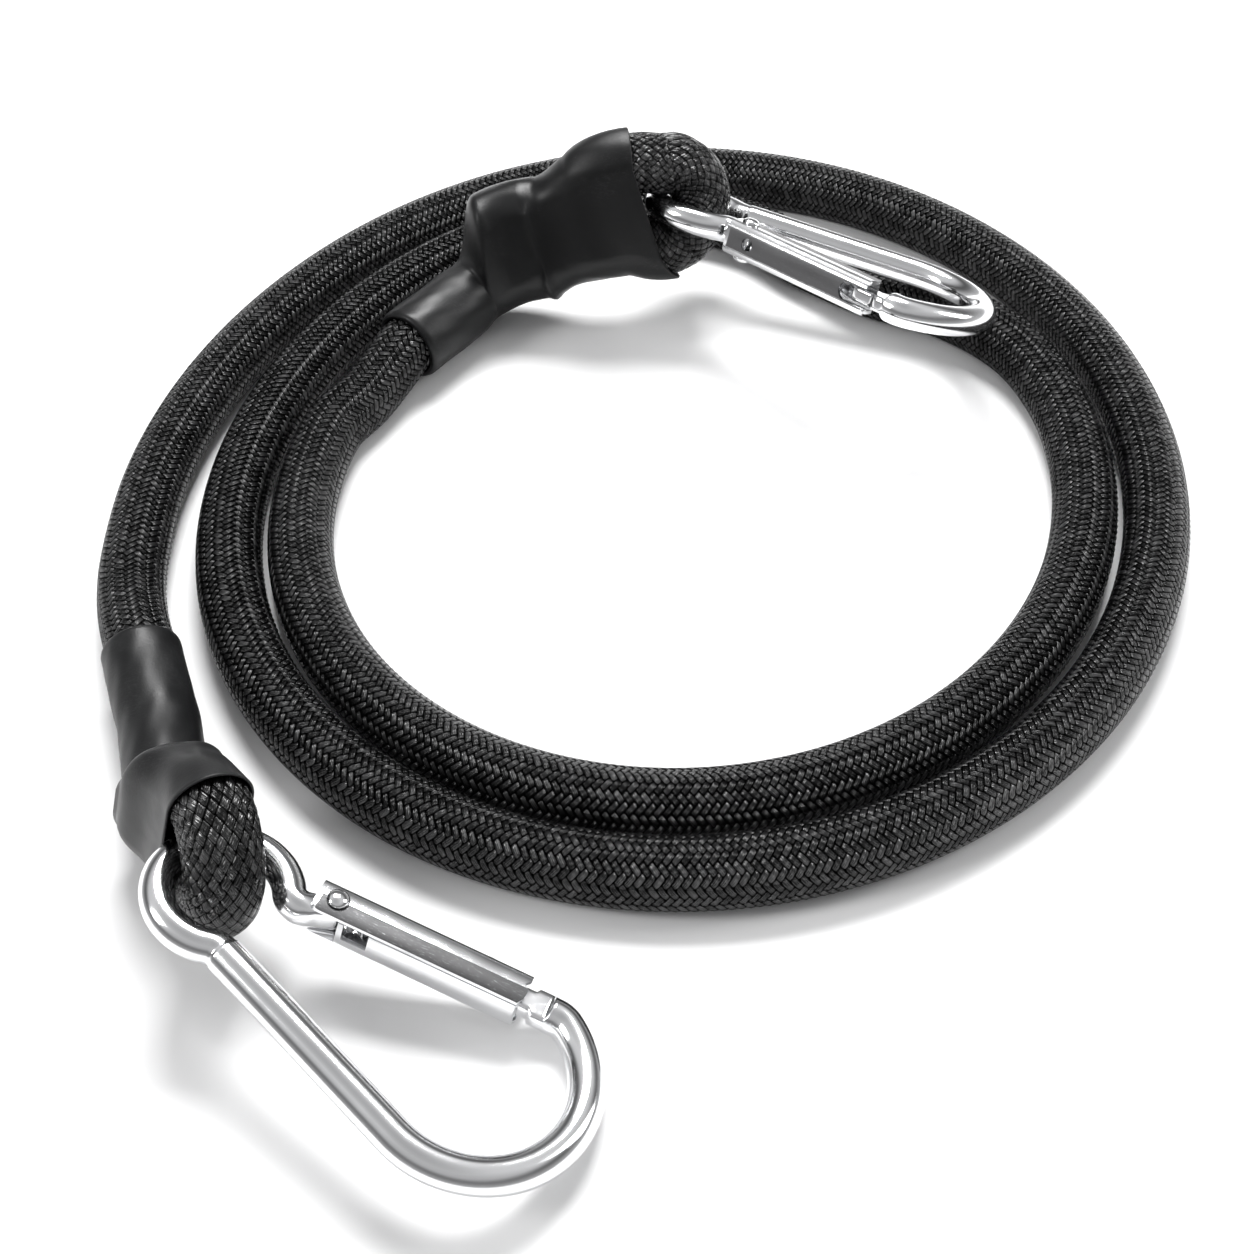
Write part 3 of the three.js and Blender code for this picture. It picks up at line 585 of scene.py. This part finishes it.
def bump(nodes, shader, height, distance, strength=1.0):
    node = nodes.add("ShaderNodeBump")
    nodes.join(height, node.inputs["Height"])
    node.inputs["Distance"].default_value = distance
    node.inputs["Strength"].default_value = strength
    nodes.join(node.outputs["Normal"], shader["Normal"])


# %% [markdown]
# ### The braid's finish
# Black yarn is nearly black all over: its look comes from small bright glints on the floats that
# happen to face the light. So the colour hardly changes, and chance sets each float's shine. The
# gaps between the floats get a painted shade, nearly black, and no shine, as the bump makes no
# shade there.

# %% Dress the cover in braid
dark_yarn, light_yarn = (0.0018, 0.0018, 0.0019, 1), (0.007, 0.007, 0.0074, 1)
# Painted shade for the gaps between the floats.
gap_painted_shade = (0.0005, 0.0005, 0.0005, 1)


def braid_material(name, row_share, over, depth):
    material, n, shader = new_material(name)
    braid = place_group(n, braid_group, Row_Share=row_share, Over=over, End_Power=end_power[over])
    wear = place_group(n, wear_group, Scale=1.0, Amount=0.4)
    yarn = n.mix(braid["Chance"], dark_yarn, light_yarn)
    # The gaps get painted shade over the yarn's colour, and below their shine is taken away.
    n.join(n.mix(braid["Gap"], yarn, gap_painted_shade), shader["Base Color"])
    rough = n.math("ADD", n.math("MULTIPLY", braid["Chance"], 0.12), 0.14)
    n.join(n.math("ADD", rough, n.math("MULTIPLY", wear["Cloud"], 0.08)), shader["Roughness"])
    shine = n.math("ADD", 0.35, n.math("MULTIPLY", braid["Chance"], 0.6))
    shown = n.math("SUBTRACT", 1.0, braid["Gap"])
    n.join(n.math("MULTIPLY", shine, shown), shader["Specular IOR Level"])
    bump(n, shader, braid["Height"], depth)
    return material


coil_braid = braid_material("braid", row_share=1.0, over=2, depth=0.6 * MM)
eye_braid = braid_material("braid_in_the_eyes", row_share=eye_row_share, over=1, depth=0.5 * MM)
cord.data.materials.append(coil_braid)
cord.data.materials.append(eye_braid)
face_slots = np.zeros(len(cord.data.polygons), int)
face_slots[:quads] = np.repeat(in_eye[:-1].astype(int), 2 * columns)
cord.data.polygons.foreach_set("material_index", face_slots)

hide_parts("cord_cover", "cord_core", "eye_cover_1", "eye_cover_2", "eye_core_1",
            "eye_core_2")
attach(cord, "cord")
print("braid:", [material.name for material in cord.data.materials])

# %% [markdown]
# ## The shrunk sleeves
# Each sleeve is a length of heat-shrink tube over both strands and the clamp band. It is wide at
# the eye, drawn in at the clamp, and closes to one strand past the folded end. A swept circle
# can't do that, so each ring of points goes round the two strands as a belt round two pulleys,
# and the upper pulley comes down where the tail stops.

# %% Wrap rings round both strands
sleeve_sides = 64
slant_run, slant_power = 18, 3.5
lip_bend = 20
slope_reach = 0.5


def knob_share(end, run):
    """How far the sleeve still stands up over the folded tail, from one to nothing."""
    return 1 - smooth((run - end["tail_run"] - end["knob_setback"]) / end["knob_run"])


def ring_over(end, strand, run, radius, folds=None):
    """A ring round both strands. Its points slide along by height, for the slanted mouth, and past
    the eye's start they bend up with the cord."""
    angles = (np.arange(sleeve_sides) + 0.5) / sleeve_sides * 2 * math.pi - math.pi / 2
    top = angles < math.pi / 2
    offset = float(strand["spread"](run) * knob_share(end, run))
    low_share = 1 - (radius * (1 + np.cos(angles)) + offset * top) / (offset + 2 * radius)
    slide = end["mouth_slant"] * (1 - smooth((run - end["mouth_run"]) / slant_run))
    places = run + slide * (0.5 - np.clip(low_share, 0, 1) ** slant_power)
    held = np.maximum(places, 0)
    past = places - held
    along = along_at(strand["curve"], held)
    centres = at_run(strand["curve"], held) + along * past[:, None]
    lift = strand["stack"](held)
    closing = strand["spread"](held + slope_reach) - strand["spread"](held - slope_reach)
    closing = closing / (2 * slope_reach)
    stretch = np.where(top, np.hypot(1, closing), 1)
    grown = radius * squeezed(end, places) + (folds(places, angles) if folds else 0)
    raised = top * strand["spread"](held) * knob_share(end, held)
    heights = grown * np.cos(angles) * stretch + raised + past ** 2 / (2 * lip_bend)
    return (centres + np.cross(along, lift) * (grown * np.sin(angles))[:, None]
            + lift * heights[:, None])


def closed_piece(name, loop, material):
    points = np.array(loop)
    points[:, :, 2] = np.maximum(points[:, :, 2], floor_clearance)
    piece = add_piece(name, (points.reshape(-1, 3) + shift) * MM,
                      ring_faces(len(loop), sleeve_sides, closed=True), material)
    face_outwards(piece)
    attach(piece, "cord")
    return piece


# %% [markdown]
# ### The folds of the rubber
# The tube shrinks tightly over every step below it: the edge of the folded tail shows as a crisp
# ridge, the edge of the clamp as a slanted fold. Each fold is a soft step in the ring's radius, at
# a run that changes round the ring, and some folds only show on the side that they face.

# %% Shape the folds
def fold(run, middle, width):
    return np.exp(-(((run - middle) / width) ** 2))


def facing(angle, way, power):
    """One on the side of the ring that faces a way, fading to nothing round it."""
    return np.maximum(0, np.cos(angle - way)) ** power


def first_sleeve_folds(run, angle):
    """A crisp ridge where the folded end stops, and a bulge on the outer side."""
    ridge_run, bulge_run, bulge_way = 16.0, 12.5, -1.6
    step = ridge_run + 1.1 * np.sin(angle + 0.5) + 0.4 * np.sin(3 * angle)
    ridge = 0.75 * fold(run, step, 0.7) - 0.25 * fold(run, step + 1.7, 0.9)
    second = 0.25 * fold(run, step + 3.6 + 0.7 * np.sin(2 * angle), 0.7)
    return ridge + second + 2.3 * fold(run, bulge_run, 5) * facing(angle, bulge_way, 1.5)


def second_sleeve_folds(run, angle):
    """A slanted fold below the clamp on the near side, and a thicker end."""
    fold_run, fold_way = 19, -2.2
    bulge_run, bulge_way = 22, -2.6
    thicker_run, thicker = 36, 0.7
    middle = fold_run - 3.2 * np.sin(angle + 0.9)
    line = 0.85 * fold(run, middle, 0.9) - 0.2 * fold(run, middle + 2.4, 1.4)
    below = 0.8 * fold(run, bulge_run, 3.5) * facing(angle, bulge_way, 2)
    return line * facing(angle, fold_way, 1.5) + below + thicker * smooth((run - thicker_run) / 8)


def ripple(run, angle):
    return 0.05 * np.sin(5 * angle + 0.4 * run) + 0.035 * np.sin(9 * angle - 0.7 * run)


sleeve_folds = {"1": first_sleeve_folds, "2": second_sleeve_folds}
deepest_folds = [folds(np.linspace(0, 40, 200), 0.0).max() for folds in sleeve_folds.values()]
print(f"folds: up to {deepest_folds[0]:.1f} mm and {deepest_folds[1]:.1f} mm on top")

# %% [markdown]
# ### Sleeve and clamp
# The sleeve is a real tube with an inside and a rounded lip at each cut edge, because its mouth is
# open to the eye. The folds fade out before the lips, which stay clean cuts. The clamp is a plain
# steel band that grips both strands in the middle of the waist.

# %% Build a sleeve and a clamp
sleeve_wall, sleeve_gap = 0.5, 0.3
sleeve_step, overlap = 0.6, 12.5
mouth_fade, end_fade = 3, 2
lip_profile = [(0.12, 0.16), (0.5, 0.24), (0.88, 0.16)]  # share of the wall, height in mm
clamp_width = 5
clamp_stations = np.array([-1, -0.9, 0, 0.9, 1])
clamp_outside, clamp_inside = 0.1, -0.4


def lip(outside, inside, beyond):
    """Rings that round off a cut edge, from the outside to the inside of the wall."""
    outwards = np.mean(outside - beyond, axis=0)
    outwards = outwards / np.linalg.norm(outwards)
    return [outside + (inside - outside) * share + outwards * height
            for share, height in lip_profile]


def build_sleeve(end, strand, material):
    name = end["name"]
    last_run = strand["joint_run"] + overlap
    ring_count = round((last_run - end["mouth_run"]) / sleeve_step)
    runs = np.linspace(end["mouth_run"], last_run, ring_count + 1)
    radius = cord_radius + sleeve_gap

    def folds(run, angle):
        fade = smooth((run - end["mouth_run"]) / mouth_fade) * smooth((last_run - run) / end_fade)
        return fade * (sleeve_folds[name](run, angle) + ripple(run, angle))

    outer = [ring_over(end, strand, run, radius + sleeve_wall, folds) for run in runs]
    inner = [ring_over(end, strand, run, radius, folds) for run in runs]
    loop = [*outer, *lip(outer[-1], inner[-1], outer[-2]), *inner[::-1],
            *lip(outer[0], inner[0], outer[1])[::-1]]
    sleeve = closed_piece(f"shrunk_sleeve_{name}", loop, material)
    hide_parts(f"sleeve_{name}")
    return sleeve


def build_clamp(end, strand, material):
    """The steel band that grips both strands under the sleeve."""
    runs = end["clamp_run"] + clamp_stations * clamp_width / 2
    outer = [ring_over(end, strand, run, cord_radius + clamp_outside) for run in runs]
    inner = [ring_over(end, strand, run, cord_radius + clamp_inside) for run in runs]
    clamp = closed_piece(f"steel_band_{end['name']}", [*outer, *inner[::-1]], material)
    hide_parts(f"clamp_band_{end['name']}")
    return clamp


# %% [markdown]
# ### The rubber
# Shrunk tube is a matt black plastic with a weak, broad sheen. Fine grain and the wear cloud go
# into the bump, and the few scratches and rubbed edges turn grey.

# %% Give the sleeves their rubber
dark_rubber, light_rubber = (0.003, 0.0031, 0.0034, 1), (0.0075, 0.0077, 0.0082, 1)
rubbed_grey = (0.05, 0.051, 0.053, 1)
rubber, n, shader = new_material("shrunk_rubber", Specular_IOR_Level=0.28)
wear = place_group(n, wear_group, Scale=0.7, Amount=1.0)
where = n.add("ShaderNodeTexCoord").outputs["Object"]
fine = n.noise(where, 2600.0, 2.0, 0.6)
base = n.mix(wear["Cloud"], dark_rubber, light_rubber)
base = n.mix(n.math("MULTIPLY", wear["Scratches"], 0.45), base, rubbed_grey)
n.join(n.mix(n.math("MULTIPLY", wear["Edge"], 0.5), base, rubbed_grey), shader["Base Color"])
n.join(n.remap(wear["Cloud"], 0.3, 0.75, 0.33, 0.5), shader["Roughness"])
grain = n.math("ADD", n.math("MULTIPLY", fine, 0.25), n.math("MULTIPLY", wear["Cloud"], 0.9))
bump(n, shader, grain, 0.12 * MM, 0.6)
for end, strand in zip(ends, strands):
    print("sleeve:", len(build_sleeve(end, strand, rubber).data.polygons), "faces")

# %% [markdown]
# ## The snap hooks
# Each hook is one steel rod, bent into an open eye ring, a straight spine and a wide round bend,
# with its end pressed flat as the nose that the gate closes on. The rod is swept here as rings of
# points, with the shoulders where the ring ends and the flats at the neck and the nose. The ring's
# middle is the hook's origin, and the hook points along x.

# %% Set out arcs and straight runs
ring_radius, ring_gate_end, ring_spine_end = 9.6, 47, 302
bar_radius, notch_radius = 2.85, 3.1
bend_radius, bend_x, bend_y, bend_gate_end = 16.2, 45.5, 4.0, 70
hinge_x, hinge_y = 13.6, 9.2
gate_angle = 16.2
nose_turn_radius = 4.2


def arc(centre, radius, from_angle, to_angle, steps):
    """Stations along an arc: x, y and heading in degrees."""
    sense = 90 if to_angle > from_angle else -90
    angles = np.linspace(from_angle, to_angle, steps + 1)[1:]
    return [(centre[0] + radius * math.cos(math.radians(a)),
             centre[1] + radius * math.sin(math.radians(a)), a + sense) for a in angles]


def on_circle(radius, angle, centre=(0.0, 0.0)):
    return (centre[0] + radius * math.cos(math.radians(angle)),
            centre[1] + radius * math.sin(math.radians(angle)))


def line_from(station, heading, distances):
    h = math.radians(heading)
    return [(station[0] + d * math.cos(h), station[1] + d * math.sin(h), heading)
            for d in distances]


def lay(stations, places, section):
    """Adds a section, as half width, half thickness and squareness, at each place."""
    stations.extend((*place, *section) for place in places)


print(f"hook: {bend_x + bend_radius + ring_radius + ring_bar_radius + bar_radius:.1f} mm long")

# %% [markdown]
# ### From the tang round the ring
# The rod starts at the hinge as a flat tang with a round end, which goes inside the gate. A short
# neck turns outwards there, and the open ring for the cord follows.

# %% Lay the tang and the ring
round_ring = (ring_bar_radius, ring_bar_radius, 2)
tang_half_width, tang_half_thickness, tang_squareness = 2.0, 2.3, 4
tang_reach = 1.95
neck_start, neck_margin = 0.6, 0.9
neck_end_section = (2.25, 2.45, 3)


def tang_and_ring():
    stations = []
    notch_centre = on_circle(ring_radius + notch_radius, ring_gate_end)
    to_notch = math.degrees(math.atan2(notch_centre[1] - hinge_y, notch_centre[0] - hinge_x))
    apart = math.hypot(notch_centre[0] - hinge_x, notch_centre[1] - hinge_y)
    heading = to_notch + math.degrees(math.asin(notch_radius / apart))
    length = math.sqrt(apart**2 - notch_radius**2)
    hinge = (hinge_x, hinge_y)
    for reach in np.linspace(tang_reach, 0, 6):
        half_width = math.sqrt(tang_half_width**2 - reach**2)
        lay(stations, line_from(hinge, heading, [-reach]),
            (half_width, tang_half_thickness, tang_squareness))
    lay(stations, line_from(hinge, heading, np.linspace(neck_start, length - neck_margin, 4)),
        (tang_half_width, tang_half_thickness, tang_squareness))
    neck_end = line_from(hinge, heading, [length])[0]
    lay(stations, [neck_end], neck_end_section)
    start = math.degrees(math.atan2(neck_end[1] - notch_centre[1], neck_end[0] - notch_centre[0]))
    notch = arc(notch_centre, notch_radius, start % 360, ring_gate_end + 180, 8)
    lay(stations, notch[1:], round_ring)
    lay(stations, arc((0, 0), ring_radius, ring_gate_end, ring_spine_end, 72), round_ring)
    return stations


# %% [markdown]
# ### Spine, bend and nose
# A sharp shoulder turns the ring into the spine, which is a little thicker. The wide bend ends in a
# tight turn that faces the gate. The nose is pressed flat there: a broad shoulder, and a narrower
# lug that goes into the gate's slot.

# %% Lay the spine, the bend and the nose
round_bar = (bar_radius, bar_radius, 2)
nose_parts = [([0.5, 0.9], round_bar), ([1.15], (2.75, 2.3, 3)),
              ([1.4, 1.8, 2.6, 3.6], (2.7, 1.5, 5)),
              ([4.0, 4.6, 6, 7.4, 8.3], (1.95, 1.5, 5)), ([8.65], (1.75, 1.35, 4))]


def spine_and_bend():
    stations = []
    notch_centre = on_circle(ring_radius + notch_radius, ring_spine_end)
    apart = math.hypot(bend_x - notch_centre[0], bend_y - notch_centre[1])
    heading = math.degrees(math.atan2(bend_y - notch_centre[1], bend_x - notch_centre[0])
                           - math.asin((notch_radius + bend_radius) / apart))
    length = math.sqrt(apart**2 - (notch_radius + bend_radius) ** 2)
    shoulder = arc(notch_centre, notch_radius, ring_spine_end - 180, heading + 90, 10)
    lay(stations, shoulder[:-1], round_ring)
    lay(stations, line_from(shoulder[-1], heading, [0.1]), round_ring)
    lay(stations, line_from(shoulder[-1], heading, [0.4]), round_bar)
    lay(stations, line_from(shoulder[-1], heading, np.linspace(0.8, length, 14)), round_bar)
    middle = (bend_x, bend_y)
    lay(stations, arc(middle, bend_radius, heading - 90, bend_gate_end, 48), round_bar)
    turn_middle = on_circle(bend_radius - nose_turn_radius, bend_gate_end, middle)
    lay(stations, arc(turn_middle, nose_turn_radius, bend_gate_end, gate_angle + 90, 10),
        round_bar)
    return stations


def rod_stations():
    """(x, y, heading, half width, half thickness, squareness) from the tang to the nose."""
    stations = tang_and_ring() + spine_and_bend()
    turn_end = stations[-1]
    for distances, section in nose_parts:
        lay(stations, line_from(turn_end, gate_angle + 180, distances), section)
    return stations


print("rod:", len(rod_stations()), "stations")

# %% [markdown]
# ### Sweep the rod
# A squareness of two makes the section an ellipse, and more makes it a rounded bar, so round rod
# and pressed flats are the same kind of ring and join without a seam.

# %% Sweep the rod
hook_sides = 40


def rod_ring(station):
    x, y, heading, width, thickness, squareness = station
    h = math.radians(heading)
    normal = np.array([-math.sin(h), math.cos(h), 0])
    points = []
    for i in range(hook_sides):
        angle = (i + 0.5) / hook_sides * 2 * math.pi
        c, s = math.cos(angle), math.sin(angle)
        points.append(np.array([x, y, 0.0])
                      + normal * width * math.copysign(abs(c) ** (2 / squareness), c)
                      + up * thickness * math.copysign(abs(s) ** (2 / squareness), s))
    return points


def hook_matrix(end):
    place = Matrix.Translation(Vector(np.array(end["ring"]) + shift) * MM)
    turn = (Matrix.Rotation(math.radians(end["heading"]), 4, "Z")
            @ Matrix.Rotation(math.radians(end["dive"]), 4, "Y")
            @ Matrix.Rotation(math.radians(end["roll"]), 4, "X"))
    return place @ turn @ Matrix.Scale(MM, 4)


def build_rod(end, material):
    stations = rod_stations()
    matrix = hook_matrix(end)
    points = [matrix @ Vector(p) for station in stations for p in rod_ring(station)]
    rod = add_piece(f"hook_rod_{end['name']}", points, capped_faces(len(stations), hook_sides),
                    material)
    face_outwards(rod)
    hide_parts(f"hook_frame_{end['name']}")
    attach(rod, f"hook {end['name']}")
    return rod


# %% [markdown]
# ### The metals
# The rod is polished and plated, so it is nearly a mirror. The clamp and the springs are plain
# strip and wire with a duller, rougher surface. One function makes them all, with the wear group
# for the small unevenness that keeps a mirror from looking drawn.

# %% Finish the metals
def metal_material(name, colour, rough, wear_amount, wear_scale):
    material, n, shader = new_material(name, Metallic=1.0)
    wear = place_group(n, wear_group, Scale=wear_scale, Amount=wear_amount)
    scratch_and_reflection_grey = tuple(c * 0.8 for c in colour[:3]) + (1,)
    n.join(n.mix(n.math("MULTIPLY", wear["Scratches"], 0.5), colour, scratch_and_reflection_grey), shader["Base Color"])
    even_rough = n.remap(wear["Cloud"], 0.3, 0.75, *rough)
    n.join(n.math("ADD", even_rough, n.math("MULTIPLY", wear["Scratches"], 0.1)),
           shader["Roughness"])
    height = n.math("ADD", n.math("MULTIPLY", wear["Cloud"], 0.5),
                    n.math("MULTIPLY", wear["Scratches"], -0.15))
    bump(n, shader, height, 0.02 * MM, 0.5)
    return material


polished = metal_material("polished_plating", (0.86, 0.865, 0.875, 1), rough=(0.1, 0.17),
                          wear_amount=0.5, wear_scale=1.0)
spring_steel = metal_material("spring_steel", (0.5, 0.505, 0.515, 1), rough=(0.25, 0.38),
                              wear_amount=0.6, wear_scale=2.0)
strip_steel = metal_material("strip_steel", (0.6, 0.605, 0.61, 1), rough=(0.25, 0.4),
                             wear_amount=0.8, wear_scale=1.5)

for end, strand in zip(ends, strands):
    print("rod:", len(build_rod(end, polished).data.polygons), "faces")
    print("clamp:", len(build_clamp(end, strand, strip_steel).data.polygons), "faces")

# %% [markdown]
# ### The rivets
# Each gate turns on a rivet with a low domed head on both sides. It is turned here as a profile
# from one head's middle, down its edge and shank, and out to the other head.

# %% Turn the rivets
head_under, head_radius, head_height = 3.37, 1.75, 1.15
head_edge, head_chamfer, undercut = 0.2, 0.05, 0.1
shank_radius = 0.9


def rivet_profile():
    """(radius, height) from the middle of the upper head to the middle of the lower one."""
    top = head_under + head_height
    dome = [(head_radius * math.cos(a),
             head_under + head_edge + (head_height - head_edge) * math.sin(a))
            for a in np.linspace(math.pi / 2, 0, 12)[1:]]
    half = [(0.001, top), *dome, (head_radius, head_under + head_chamfer),
            (head_radius - undercut, head_under), (shank_radius, head_under)]
    return half + [(radius, -height) for radius, height in half[::-1]]


def build_rivet(end, material):
    """A pin with a domed head on each side, on the gate's hinge."""
    profile = rivet_profile()
    turns = np.linspace(0, 2 * math.pi, hook_sides, endpoint=False)
    matrix = hook_matrix(end)
    points = [matrix @ Vector((hinge_x + r * math.cos(a), hinge_y + r * math.sin(a), z))
              for r, z in profile for a in turns]
    piece = add_piece(f"rivet_{end['name']}", points, capped_faces(len(profile), hook_sides),
                      material)
    face_outwards(piece)
    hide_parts(f"gate_rivet_{end['name']}")
    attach(piece, f"hook {end['name']}")
    return piece


for end in ends:
    print("rivet:", len(build_rivet(end, polished).data.polygons), "faces")

# %% [markdown]
# ## The gates and their small parts
# The folded gates, their pins and their springs are the packed solids themselves, with a small
# bevel on the edges, as pressed sheet has. Each gate's broad faces are slightly crowned and have a
# painted dark reflection band between their bright folds.

# %% Dress the packed small parts
edge_bevel = 0.1 * MM


def dress(node, material, bevel=0.0):
    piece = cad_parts[node]
    piece.data.materials.clear()
    piece.data.materials.append(material)
    if bevel:
        rounding = piece.modifiers.new("rounded edges", "BEVEL")
        rounding.width = bevel
        rounding.segments = 2
        rounding.limit_method = "ANGLE"
        rounding.angle_limit = math.radians(40)
        rounding.harden_normals = True
    piece.data.shade_smooth()


for end in ends:
    dress(f"gate_pin_{end['name']}", spring_steel, edge_bevel)
    dress(f"gate_spring_{end['name']}", spring_steel)
print("dressed:", len(ends), "pins and springs")

# %% [markdown]
# ### The gate group
# This group finds the bands of a gate where a dark reflection is painted. It gets the gate's hinge
# and its three directions, and measures from there how far each point lies along the gate, out of
# it and to its side. The band covers the web between the two bright folds and the lower half of
# each side. The streaks are noise stretched along the gate, which varies the painted reflection,
# and the crown is the height of the slightly rounded faces.

# %% The gate group
gate_half_width, gate_depth = 3.3, 3.0
gate_group, n, given, out = new_group(
    "gate", [("Hinge", VECTOR, None), ("Along", VECTOR, None), ("Outward", VECTOR, None),
             ("Sideways", VECTOR, None)],
    [("Reflection Band", FLOAT), ("Streaks", FLOAT), ("Crown", FLOAT)])
offset = n.vector("SUBTRACT", n.add("ShaderNodeTexCoord").outputs["Object"], given["Hinge"])
run = n.vector("DOT_PRODUCT", offset, given["Along"])
height = n.vector("DOT_PRODUCT", offset, given["Outward"])
sideways = n.math("ABSOLUTE", n.vector("DOT_PRODUCT", offset, given["Sideways"]))
on_web = n.math("MULTIPLY", n.remap(sideways, 1.95 * MM, 1.85 * MM),
                n.remap(height, 2.8 * MM, 2.9 * MM))
on_side = n.math("MULTIPLY", n.remap(sideways, 3.2 * MM, 3.3 * MM),
                 n.remap(height, 0.15 * MM, 0.0 * MM))
# The band is where a dark reflection is painted on the gate.
n.join(n.math("MULTIPLY", n.math("ADD", on_web, on_side, clamp=True),
              n.remap(run, -2.6 * MM, -2.4 * MM)), out["Reflection Band"])
streak_place = n.add("ShaderNodeCombineXYZ")
for value, axis, scale in ((run, "X", 900.0), (height, "Y", 5000.0), (sideways, "Z", 5000.0)):
    n.join(n.math("MULTIPLY", value, scale), streak_place.inputs[axis])
n.join(n.noise(streak_place.outputs[0], 1.0, 3.0, 0.7), out["Streaks"])
n.join(n.math("ADD", n.math("POWER", n.math("DIVIDE", height, gate_depth * MM), 2.0),
              n.math("POWER", n.math("DIVIDE", sideways, gate_half_width * MM), 2.0)),
       out["Crown"])
print("gate group:", len(gate_group.nodes), "nodes")

# %% [markdown]
# ### The gates' finish
# The gate starts as the polished metal, and a painted dark reflection band is mixed over its colour
# and roughness. The two gates face different parts of the room, so the painted reflection on the
# first one is darker.

# %% Finish the gates
# The greys of each gate's painted dark reflection, from dark to light.
painted_reflection_grey = {"1": (0.05, 0.22), "2": (0.17, 0.3)}
crown_height = 0.35 * MM


def gate_material(end):
    material = metal_material(f"gate_sheet_{end['name']}", (0.82, 0.825, 0.835, 1),
                              rough=(0.12, 0.2), wear_amount=0.7, wear_scale=1.6)
    n = Nodes(material.node_tree)
    shader = material.node_tree.nodes["Principled BSDF"].inputs
    matrix = hook_matrix(end)
    axes = np.array(matrix.to_3x3()) / MM
    way = turned(gate_angle, 0)
    gate = place_group(n, gate_group, Hinge=tuple(matrix @ Vector((hinge_x, hinge_y, 0))),
                       Along=tuple(axes @ way),
                       Outward=tuple(axes @ np.array([-way[1], way[0], 0])),
                       Sideways=tuple(axes[:, 2]))
    colour, rough, normal = (shader[name].links[0]
                             for name in ("Base Color", "Roughness", "Normal"))
    # The band's colour is a painted dark reflection, streaked from its dark grey to its light grey.
    dark, light = [(grey, grey, grey * 1.02, 1) for grey in painted_reflection_grey[end["name"]]]
    scratch_and_reflection_grey = n.mix(n.remap(gate["Streaks"], 0.55, 0.85), dark, light)
    finish, plain_colour, plain_rough = normal.from_node, colour.from_socket, rough.from_socket
    n.join(n.mix(gate["Reflection Band"], plain_colour, scratch_and_reflection_grey), shader["Base Color"])
    n.join(n.math("ADD", plain_rough, n.math("MULTIPLY", gate["Reflection Band"], 0.2)), shader["Roughness"])
    crowned = n.add("ShaderNodeBump", invert=True)
    crowned.inputs["Distance"].default_value = crown_height
    n.join(gate["Crown"], crowned.inputs["Height"])
    n.join(crowned.outputs["Normal"], finish.inputs["Normal"])
    return material


for end in ends:
    dress(f"gate_{end['name']}", gate_material(end), edge_bevel)
    # The printed greys are those of the painted reflection band.
    print("gate:", end["name"], "with a dull band of", painted_reflection_grey[end["name"]])

# %% [markdown]
# ## Floor, light and world
# The cord was photographed on a white sweep under large soft lights, with the main one behind and
# above, so the shadows fall softly towards the camera. The polished hooks need something to
# reflect: a bright overhead sky and a darker band round the room.

# %% Lay the floor
floor = add_piece("floor", [(-3, -3, 0), (3, -3, 0), (3, 3, 0), (-3, 3, 0)], [(0, 1, 2, 3)])
floor_material, n, shader = new_material("white_sweep", Roughness=0.6, Specular_IOR_Level=0.2)
tint = n.noise(n.add("ShaderNodeTexCoord").outputs["Object"], 3.0, 2.0, 0.5)
n.join(n.mix(tint, (0.86, 0.86, 0.862, 1), (0.88, 0.88, 0.88, 1)), shader["Base Color"])
floor.data.materials.append(floor_material)
print("floor:", floor_material.name)

# %% Paint the room round it
world = bpy.data.worlds.new("studio")
world.use_nodes = True
scene.world = world
n = Nodes(world.node_tree)
background = world.node_tree.nodes["Background"]
direction = n.add("ShaderNodeSeparateXYZ")
n.join(n.add("ShaderNodeTexCoord").outputs["Generated"], direction.inputs[0])
ramp = n.add("ShaderNodeValToRGB")
n.join(direction.outputs["Z"], ramp.inputs["Fac"])
stops = [(0.0, 0.7), (0.1, 0.6), (0.3, 0.22), (0.42, 0.12), (0.5, 0.3), (0.66, 0.85),
         (0.85, 0.95), (1.0, 0.6)]  # height in the room, brightness
elements = ramp.color_ramp.elements
for place, value in stops:
    present = {0.0: elements[0], 1.0: elements[-1]}
    stop = present.get(place) or elements.new(place)
    stop.color = (value, value, value * 1.01, 1)
near_side = n.remap(direction.outputs["Y"], 0.1, -0.6)
sky = n.mix(n.math("MULTIPLY", near_side, 0.45), ramp.outputs["Color"], (0.42, 0.42, 0.424, 1))
seen = n.add("ShaderNodeLightPath").outputs["Is Camera Ray"]
n.join(n.mix(seen, sky, (1.4, 1.4, 1.4, 1)), background.inputs["Color"])
background.inputs["Strength"].default_value = 0.7
print("room:", len(elements), "bands from the floor to the ceiling")

# %% [markdown]
# ### The lamps
# The key lamp is a soft window behind and above the cord, which gives the glints on the braid and
# the shadow towards the camera. A weak fill from the left and a rim from the right keep the
# sleeves from going flat.

# %% Hang the lamps
def add_light(name, place, target, size, power):
    data = bpy.data.lights.new(name, "AREA")
    data.shape = "RECTANGLE"
    data.size, data.size_y = size
    data.energy = power
    light = bpy.data.objects.new(name, data)
    light.location = place
    light.rotation_euler = (Vector(target) - Vector(place)).to_track_quat("-Z", "Y").to_euler()
    scene.collection.objects.link(light)


add_light("key", place=(0.05, 0.7, 1.0), target=(0, 0.02, 0), size=(0.6, 0.35), power=21)
add_light("fill", place=(-0.9, -0.2, 0.8), target=(0, 0, 0), size=(0.3, 0.5), power=5)
add_light("rim", place=(0.95, 0.2, 0.55), target=(0, 0, 0), size=(0.3, 0.5), power=4)
scene.view_settings.view_transform = "Standard"

# %% [markdown]
# The dressed cord has to fill the same box as the packed model.
